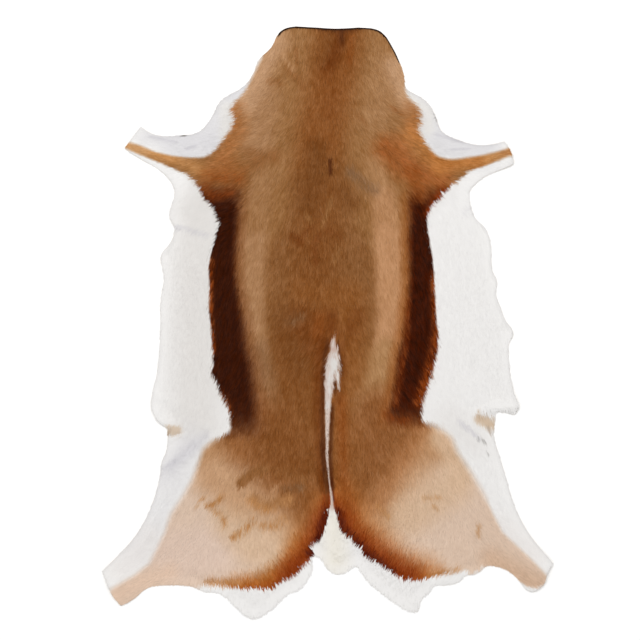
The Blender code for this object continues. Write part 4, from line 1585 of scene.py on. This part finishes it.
@dataclass
class Locks:
    """Locks of hair, as arrays with one row for each lock. Places are in millimetres.

    Attributes:
        root: across and along of each lock's root.
        tip: across and along of its tip.
        foot: height of its root.
        point: height of its tip.
        width: how wide it is at its widest.
        bow: how far its middle swings to its left.
        paint: its sRGB colour halfway.
        is_brown: whether it belongs to the brown coat.
        is_curved: whether it is made in the curved form.
        chance: a random number from 0 to 1.
        brown_roundness: how far the light sees a brown lock's sides turned from the coat's lie. It is
            small, because the light of a real coat's hundreds of hairs evens out.
        white_roundness: the same for white hair, which is finer.
        root_shade: how much darker the roots of black hair are painted than its tips, as painted shade from
            the
        locks over them; of lighter hair, less.
        true: the share of the way to the tip at which a lock has the colour that it is painted.
    """

    root: Array
    tip: Array
    foot: Array
    point: Array
    width: Array
    bow: Array
    paint: Array
    is_brown: Array
    is_curved: Array
    chance: Array
    brown_roundness: float = 0.2
    white_roundness: float = 0.04
    root_shade: float = 0.7
    true: float = 0.45

    def solids(self, chosen: Array, form: LockForm) -> tuple[Array, ...]:
        """Works out the points, faces, colours and strand maps of some of the locks, all of one form.

        At the share s of the way from root to tip, a ring's middle lies at root + s (tip - root), swung
        sideways by bow times 4s(1-s). Its left and right points lie half a width to each side, and its
        upper point a seventh of a width higher. The colour's brightness rises evenly from root to tip, as
        painted shade that darkens the roots among the locks, by the root shade times the square of what
        the lock's own lightness leaves to white.

        Args:
            chosen: the numbers of the locks.
            form: which rings they have.

        Returns:
            Points, faces, and for each point its linear colour, its place across and along the lock, and
            its normal.
        """
        root = np.column_stack((self.root, self.foot))[chosen]
        run = np.column_stack((self.tip, self.point))[chosen] - root
        ahead = run[:, :2] / np.maximum(np.hypot(*run[:, :2].T), 1e-6)[:, None]
        left = np.column_stack((-ahead[:, 1], ahead[:, 0], np.zeros(len(chosen))))
        half, bow = self.width[chosen, None] / 2.0, self.bow[chosen, None]
        up = np.tile((0.0, 0.0, 1.0), (len(chosen), 1))
        brown = self.is_brown[chosen, None]
        round_off = np.where(brown, self.brown_roundness, self.white_roundness)
        colour = to_linear(self.paint[chosen]) * np.where(brown, BROWN_GAIN, WHITE_GAIN)
        # Painted shade: each lock's root is painted darker than its tip, as if shaded by the locks over it;
        # pale hair less so
        root_shade = self.root_shade * (1.0 - self.paint[chosen].mean(axis=1, keepdims=True)) ** 2
        points, shades, spread, normals = [], [], [], []
        # Every lock reads its strands from a stretch of its own among 997
        number = np.floor(self.chance[chosen] * 997.0)
        for share, wide in form.value:
            middle = root + share * run + bow * 4.0 * share * (1.0 - share) * left
            points += [middle + wide * half * left, middle - wide * half * left]
            points.append(middle + wide * half * (0.0, 0.0, 0.3))
            normals += [up + round_off * left, up - round_off * left, up]
            shades += [(1.0 + root_shade * (share - self.true)) * colour] * 3
            spread += [np.column_stack((3.0 * number + across, np.full(len(chosen), share)))
                       for across in (0.0, 1.0, 0.5)]
        points.append(root + run)
        normals.append(up)
        shades.append((1.0 + root_shade * (1.0 - self.true)) * colour)
        spread.append(np.column_stack((3.0 * number + 0.5, np.ones(len(chosen)))))
        width = len(points)
        faces = form.faces()[None] + width * np.arange(len(chosen))[:, None, None]
        points, shades, spread, normals = (
            np.stack(rows, axis=1).reshape(-1, rows[0].shape[1])
            for rows in (points, shades, spread, normals)
        )
        return points, faces.reshape(-1, 3), shades, spread, normals

    def build(self, name: str, chosen: Array, finish: HairFinish) -> bpy.types.Object:
        """Joins some of the locks into one piece, with normals turned down on faces that look down.

        Args:
            name: the piece's name.
            chosen: whether each lock belongs to it.
            finish: the hair's finish.

        Returns:
            The piece.
        """
        parts = []
        for form, curved in ((LockForm.STRAIGHT, False), (LockForm.CURVED, True)):
            parts.append(self.solids(np.flatnonzero(chosen & (self.is_curved == curved)), form))
        after = len(parts[0][0])
        points, faces = np.vstack((parts[0][0], parts[1][0])), np.vstack((parts[0][1], parts[1][1] + after))
        shades, spread, normals = (np.vstack((parts[0][k], parts[1][k])) for k in (2, 3, 4))
        low, high = points[:, :2].min(axis=0), points[:, :2].max(axis=0)
        flat_map = (0.01 + 0.98 * (points[:, :2] - low) / (high - low).max())[faces]
        piece = make_piece(name, points, faces, shades, flat_map)
        strands = piece.data.uv_layers.new(name=STRAND_MAP)
        strands.uv.foreach_set("vector", np.ascontiguousarray(spread[faces], np.float32).ravel())
        corners = (normals / np.linalg.norm(normals, axis=1)[:, None])[faces]
        edges = points[faces[:, 1:]] - points[faces[:, :1]]
        corners[np.cross(edges[:, 0], edges[:, 1])[:, 2] < 0.0, :, 2] *= -1.0
        piece.data.normals_split_custom_set(corners.reshape(-1, 3).tolist())
        piece.data.materials.append(finish.build())
        return piece


@dataclass(frozen=True)
class CoatSection:
    """One piece of the coat: its name, whether its hair is brown, and the left, right, lower and upper
    limits of its part of the hide.
    """

    name: str
    brown: bool
    left: float
    right: float
    low: float
    high: float

    def holds(self, locks: Locks) -> Array:
        """Whether each lock is rooted in this section."""
        across, along = locks.root.T
        here = (across >= self.left) & (across < self.right) & (along >= self.low) & (along < self.high)
        return here & (locks.is_brown == self.brown)


SECTIONS = table(CoatSection,
    ("coat_neck", True, -500, 500, 215, 700),
    ("coat_back_left", True, -500, 4, -170, 215),
    ("coat_back_right", True, 4, 500, -170, 215),
    ("coat_haunch_left", True, -500, 4, -700, -170),
    ("coat_haunch_right", True, 4, 500, -700, -170),
    ("belly_left", False, -500, -20, -700, 700),
    ("rump_crest", False, -20, 60, -700, 700),
    ("belly_right", False, 60, 500, -700, 700),
)


@dataclass
class HairCoat:
    """The coat of hair that is combed flat over the leather.

    Attributes:
        relief: the surface that it is rooted in.
        comb: which way it lies.
        markings: its colours.
        tufts: how its locks hang together.
        brown_plot: how many square millimetres each lock of brown hair has.
        white_plot: the same for white hair, which shows less.
        crest_plot: the same for the narrow crest of the back.
        crest_margin: how far around the crest the hair is so dense.
        bare_edge: how far inside the rim the outermost roots are.
        bare_cut: the same along the neck cut.
        overhang: how far the tips may pass the rim at most.
        rump_overhang: the same for the long tufts of the rump.
        lock_turn: how unevenly single locks lie, in degrees.
        tuft_turn: how far a whole tuft may turn, in degrees.
        pull: how much of the way to its tuft's middle line a tip is drawn.
        shift: how far along the hair a tuft may carry the markings' edges.
        lock_shift: how much further a single lock may.
        crest_shift: how much further the locks of the crest's upper end may carry its edge.
        own_tone: how much locks of black hair would differ in brightness; lighter ones differ less.
        own_lift: how much they would differ in height, as a share of the room for them.
        clearance: how far over the leather's underside a lock passes at least, where it crosses a pleat.
        lie: how high in the room for them locks lie on average.
        least_lift: how far above the skin their tips stay.
        seen_at: the share of the way to its tip at which a lock takes its colour.
        curl: how far a lock may bow, as a share of its length.
        curved_from: how long a lock of the rump is that is made in the curved form.
    """

    relief: Relief
    comb: Comb
    markings: Markings
    tufts: Tufts
    brown_plot: float = 3.5
    white_plot: float = 6.6
    crest_plot: float = 1.2
    crest_margin: float = 5.0
    bare_edge: float = 0.4
    bare_cut: float = 2.4
    overhang: float = 2.2
    rump_overhang: float = 4.0
    lock_turn: float = 6.0
    tuft_turn: float = 7.0
    pull: float = 0.5
    shift: float = 2.4
    lock_shift: float = 2.2
    crest_shift: float = 5.0
    own_tone: float = 0.36
    own_lift: float = 0.7
    clearance: float = 0.6
    lie: float = 0.62
    least_lift: float = 0.3
    seen_at: float = 0.55
    curl: float = 0.08
    curved_from: float = 14.0

    # Steps of a sequence that fills a square evenly
    EVEN_STEPS = (0.7548776662, 0.5698402910)
    # The shares of the way to its tip at which a lock keeps that clearance
    PASSES = (0.5, 0.75)
    # A lock's length as a share of the comb's: the least, what its tuft adds and what chance adds
    LENGTHS = (0.78, 0.24, 0.2)
    # A lock's width, and how much wider it is for each millimetre of its length
    BROWN_WIDTH = (0.9, 0.085)
    WHITE_WIDTH = (1.1, 0.08)
    # The rump's long hair lies this far along, this far to each side, and begins over so far
    RUMP_TOP, RUMP_SIDE, RUMP_EASE = -330.0, 230.0, 60.0
    # From here on towards the tail the crest's edge is even
    CREST_EVEN, CREST_EASE = -120.0, 30.0

    def roots(self, draws: np.random.Generator) -> Array:
        """Spreads roots almost evenly over the hide, closer together where the coat is brown.

        Args:
            draws: where their small random shifts come from.

        Returns:
            Across and along of each root.
        """
        low, high = self.relief.rim.loop.min(axis=0), self.relief.rim.loop.max(axis=0)
        found = []
        for plot, kind in ((self.brown_plot, 0), (self.white_plot, 1), (self.crest_plot, 2)):
            count = int((high - low).prod() / plot)
            even = (0.5 + np.arange(count)[:, None] * np.array(self.EVEN_STEPS)) % 1.0
            places = low + even * (high - low)
            places += 0.35 * math.sqrt(plot) * draws.standard_normal((count, 2))
            by_crest = self.markings.in_crest(places) > -self.crest_margin
            here = np.where(by_crest, 2, self.markings.in_brown(places) <= 0.0) == kind
            bare = np.where(self.relief.is_cut(places), self.bare_cut, self.bare_edge)
            found.append(places[here & (self.relief.inside(places) > bare)])
        return np.vstack(found)

    def trim(self, root: Array, tip: Array, over: Array) -> Array:
        """Shortens the locks that pass the rim by more than they may.

        Twice over, a lock keeps the share of its length that brings its tip to its limit, if the depth
        inside the rim falls evenly from root to tip.

        Args:
            root: across and along of each root.
            tip: across and along of each tip.
            over: how far each may pass the rim.

        Returns:
            The tips' new places.
        """
        for _ in range(2):
            at_root, at_tip = self.relief.inside(root) + over, self.relief.inside(tip) + over
            share = np.where(at_tip < 0.0, at_root / np.maximum(at_root - at_tip, 1e-6), 1.0)
            tip = root + np.clip(share, 0.12, 1.0)[:, None] * (tip - root)
        return tip

    def grow(self) -> Locks:
        """Works out every lock of the coat.

        A lock starts at its root and runs the comb's length the comb's way, turned a little by chance
        and drawn towards its tuft's middle line. It takes its colour from the markings near its
        middle, carried a little along the hair by its tuft, so that edges between colours are jagged.

        Returns:
            The locks.
        """
        draws = np.random.default_rng(SEED)
        root = self.roots(draws)
        ahead, length = self.comb.lie(root)
        centre, shared = self.tufts.gather(root, ahead, self.markings.chance)
        drawn = draws.random((len(root), 6))
        turn = self.tuft_turn * (2.0 * ((7.3 * shared[:, 0]) % 1.0) - 1.0)
        turn = np.radians(turn + self.lock_turn * draws.standard_normal(len(root)))
        ahead = np.stack((
            ahead[:, 0] * np.cos(turn) - ahead[:, 1] * np.sin(turn),
            ahead[:, 0] * np.sin(turn) + ahead[:, 1] * np.cos(turn),
        ), axis=1)
        aside = np.stack((-ahead[:, 1], ahead[:, 0]), axis=1)
        least, by_tuft, by_lock = self.LENGTHS
        length = length * (least + by_tuft * ((3.7 * shared[:, 1]) % 1.0) + by_lock * drawn[:, 0])
        tip = root + length[:, None] * ahead
        rump = smooth_step((self.RUMP_TOP - root[:, 1]) / self.RUMP_EASE)
        rump *= smooth_step((self.RUMP_SIDE - np.abs(root[:, 0])) / self.RUMP_EASE)
        crest = smooth_step(1.0 + self.markings.in_crest(root) / self.crest_margin)
        pull = self.pull * (1.0 - 0.5 * rump) * (1.0 - 0.8 * crest)
        tip -= (pull * ((tip - centre) * aside).sum(axis=1))[:, None] * aside
        over = drawn[:, 1] * (self.overhang + rump * (self.rump_overhang - self.overhang))
        tip = self.trim(root, tip, over)
        carried = self.shift * (1.0 - 0.4 * rump) * (2.0 * shared[:, 3] - 1.0)
        carried += self.lock_shift * (2.0 * drawn[:, 2] - 1.0)
        carried += self.crest_shift * crest * (2.0 * ((7.1 * shared[:, 3] + 2.3 * drawn[:, 2]) % 1.0) - 1.0)
        carried *= 1.0 - 0.85 * crest * smooth_step((self.CREST_EVEN - root[:, 1]) / self.CREST_EASE)
        seen = root + (self.seen_at - 0.1 * crest)[:, None] * (tip - root) + carried[:, None] * ahead
        paint, is_brown = self.markings.paint(seen, shared[:, 2], self.relief.inside(root))
        dark = 1.0 - paint.mean(axis=1)
        paint += (self.own_tone * dark**2 * (1.0 - dark) * (drawn[:, 3] - 0.5))[:, None]
        share = self.lie + self.own_lift * dark * (drawn[:, 4] - 0.5)
        lift = np.maximum(self.relief.room(tip) * share, self.least_lift + 0.5 * crest * ~is_brown)
        lift *= 1.0 + 0.5 * rump
        foot, point = self.relief.skin(root) - 0.2, self.relief.skin(tip) + lift
        for part in self.PASSES:
            passed = self.relief.leather(root + part * (tip - root)) + self.clearance
            point = np.maximum(point, foot + (passed - foot) / part)
        width, wider = np.where(is_brown, *np.array((self.BROWN_WIDTH, self.WHITE_WIDTH))[:, :, None])
        width += wider * length
        return Locks(
            root, tip, foot, point,
            width=width * (0.8 + 0.4 * drawn[:, 5]) * (1.0 - 0.4 * crest),
            bow=self.curl * length * (2.0 * ((5.1 * shared[:, 1]) % 1.0) - 1.0),
            paint=np.clip(paint, 0.0, 1.0),
            is_brown=is_brown,
            is_curved=(length > self.curved_from) & (rump > 0.2),
            chance=drawn[:, 0],
        )

    def build(self) -> list[tuple[bpy.types.Object, str]]:
        """Makes the coat's pieces, each paired with the name of a material slot."""
        locks = self.grow()
        made = []
        for section in SECTIONS:
            finish, slot = (BACK_HAIR, "coat") if section.brown else (BELLY_HAIR, "belly_coat")
            made.append((locks.build(section.name, section.holds(locks), finish), slot))
        return made


@dataclass
class Studio:
    """A white floor, even light from all round, one soft box beyond the neck, and a camera overhead.

    Attributes:
        floor_side: the floor's width, in metres.
        gap: how far the floor lies below the hide, so that they don't share a face, in metres.
        backdrop: the floor's colour.
        surround: the brightness of the light from all round.
        box_power: the soft box's power, in watts.
        box_side: its width, in metres.
        box_place: where it hangs, in metres.
        lens: the camera's focal length, in millimetres.
        film: the width of its film, in millimetres.
    """

    floor_side: float = 60.0
    gap: float = 0.0003
    backdrop: str = "#FBFBFB"
    surround: float = 0.72
    box_power: float = 94.0
    box_side: float = 2.4
    box_place: tuple[float, float, float] = (-0.6, 1.4, 4.0)
    lens: float = 100.0
    film: float = 36.0

    def build(self) -> None:
        """Sets up the floor, the lights and the camera.

        The camera is as high over the hide as makes the picture's side as wide as it is on the hide:
        the height is that width times the lens over the film.
        """
        scene = bpy.context.scene
        half = self.floor_side / 2.0
        mesh = bpy.data.meshes.new("floor")
        corners = ((-half, -half), (half, -half), (half, half), (-half, half))
        mesh.from_pydata([(x, y, -self.gap) for x, y in corners], [], [(0, 1, 2, 3)])
        floor = bpy.data.objects.new("floor", mesh)
        scene.collection.objects.link(floor)
        material, tree = blank_material("matt_white_backdrop")
        shader = add_node(tree, "BsdfPrincipled", {
            "Base Color": (*to_linear(self.backdrop), 1.0), "Roughness": 1.0, "Specular IOR Level": 0.0,
        })
        add_node(tree, "OutputMaterial", {"Surface": shader["BSDF"]})
        mesh.materials.append(material)
        world = bpy.data.worlds.new("studio")
        world.use_nodes = True
        sky = world.node_tree.nodes["Background"].inputs
        sky["Color"].default_value = (1.0, 1.0, 1.0, 1.0)
        sky["Strength"].default_value = self.surround
        scene.world = world
        light = bpy.data.lights.new("soft_box", "AREA")
        light.energy = self.box_power
        light.size = self.box_side
        box = bpy.data.objects.new("soft_box", light)
        box.location = self.box_place
        away = math.hypot(*self.box_place[:2])
        box.rotation_euler = (
            math.atan2(away, self.box_place[2]),
            0.0,
            math.atan2(self.box_place[1], self.box_place[0]) + math.pi / 2.0,
        )
        scene.collection.objects.link(box)
        camera = bpy.data.cameras.new("overhead")
        camera.lens = self.lens
        camera.sensor_width = self.film
        stand = bpy.data.objects.new("overhead", camera)
        middle = from_photo(((PICTURE_SIDE / 2.0, PICTURE_SIDE / 2.0),))[0] * MM
        stand.location = (*middle, PICTURE_SIDE * PIXEL * MM * self.lens / self.film)
        scene.collection.objects.link(stand)
        scene.camera = stand
        scene.view_settings.view_transform = "Standard"


def main() -> None:
    """Builds the studio, the leather and the coat, puts each piece under the root body and logs its
    triangles.
    """
    logging.basicConfig(level=logging.INFO, format="%(name)s: %(message)s")
    Studio().build()
    chance = Scatter(SEED)
    chart = Chart(low=(-450.0, -585.0), columns=301, rows=391, pitch=3.0)
    relief = Relief(Rim(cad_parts["hide"]), chart)
    markings = Markings(chart, chance)
    leather = HideLeather(relief, markings).build()
    coat = HairCoat(relief, Comb(chart), markings, Tufts()).build()
    for piece, slot in [(leather, "leather"), *coat]:
        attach(piece, "root")
        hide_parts("hide")
        piece.data.calc_loop_triangles()
        log.info("%s: %d triangles", piece.name, len(piece.data.loop_triangles))


if __name__ == "__main__":
    main()
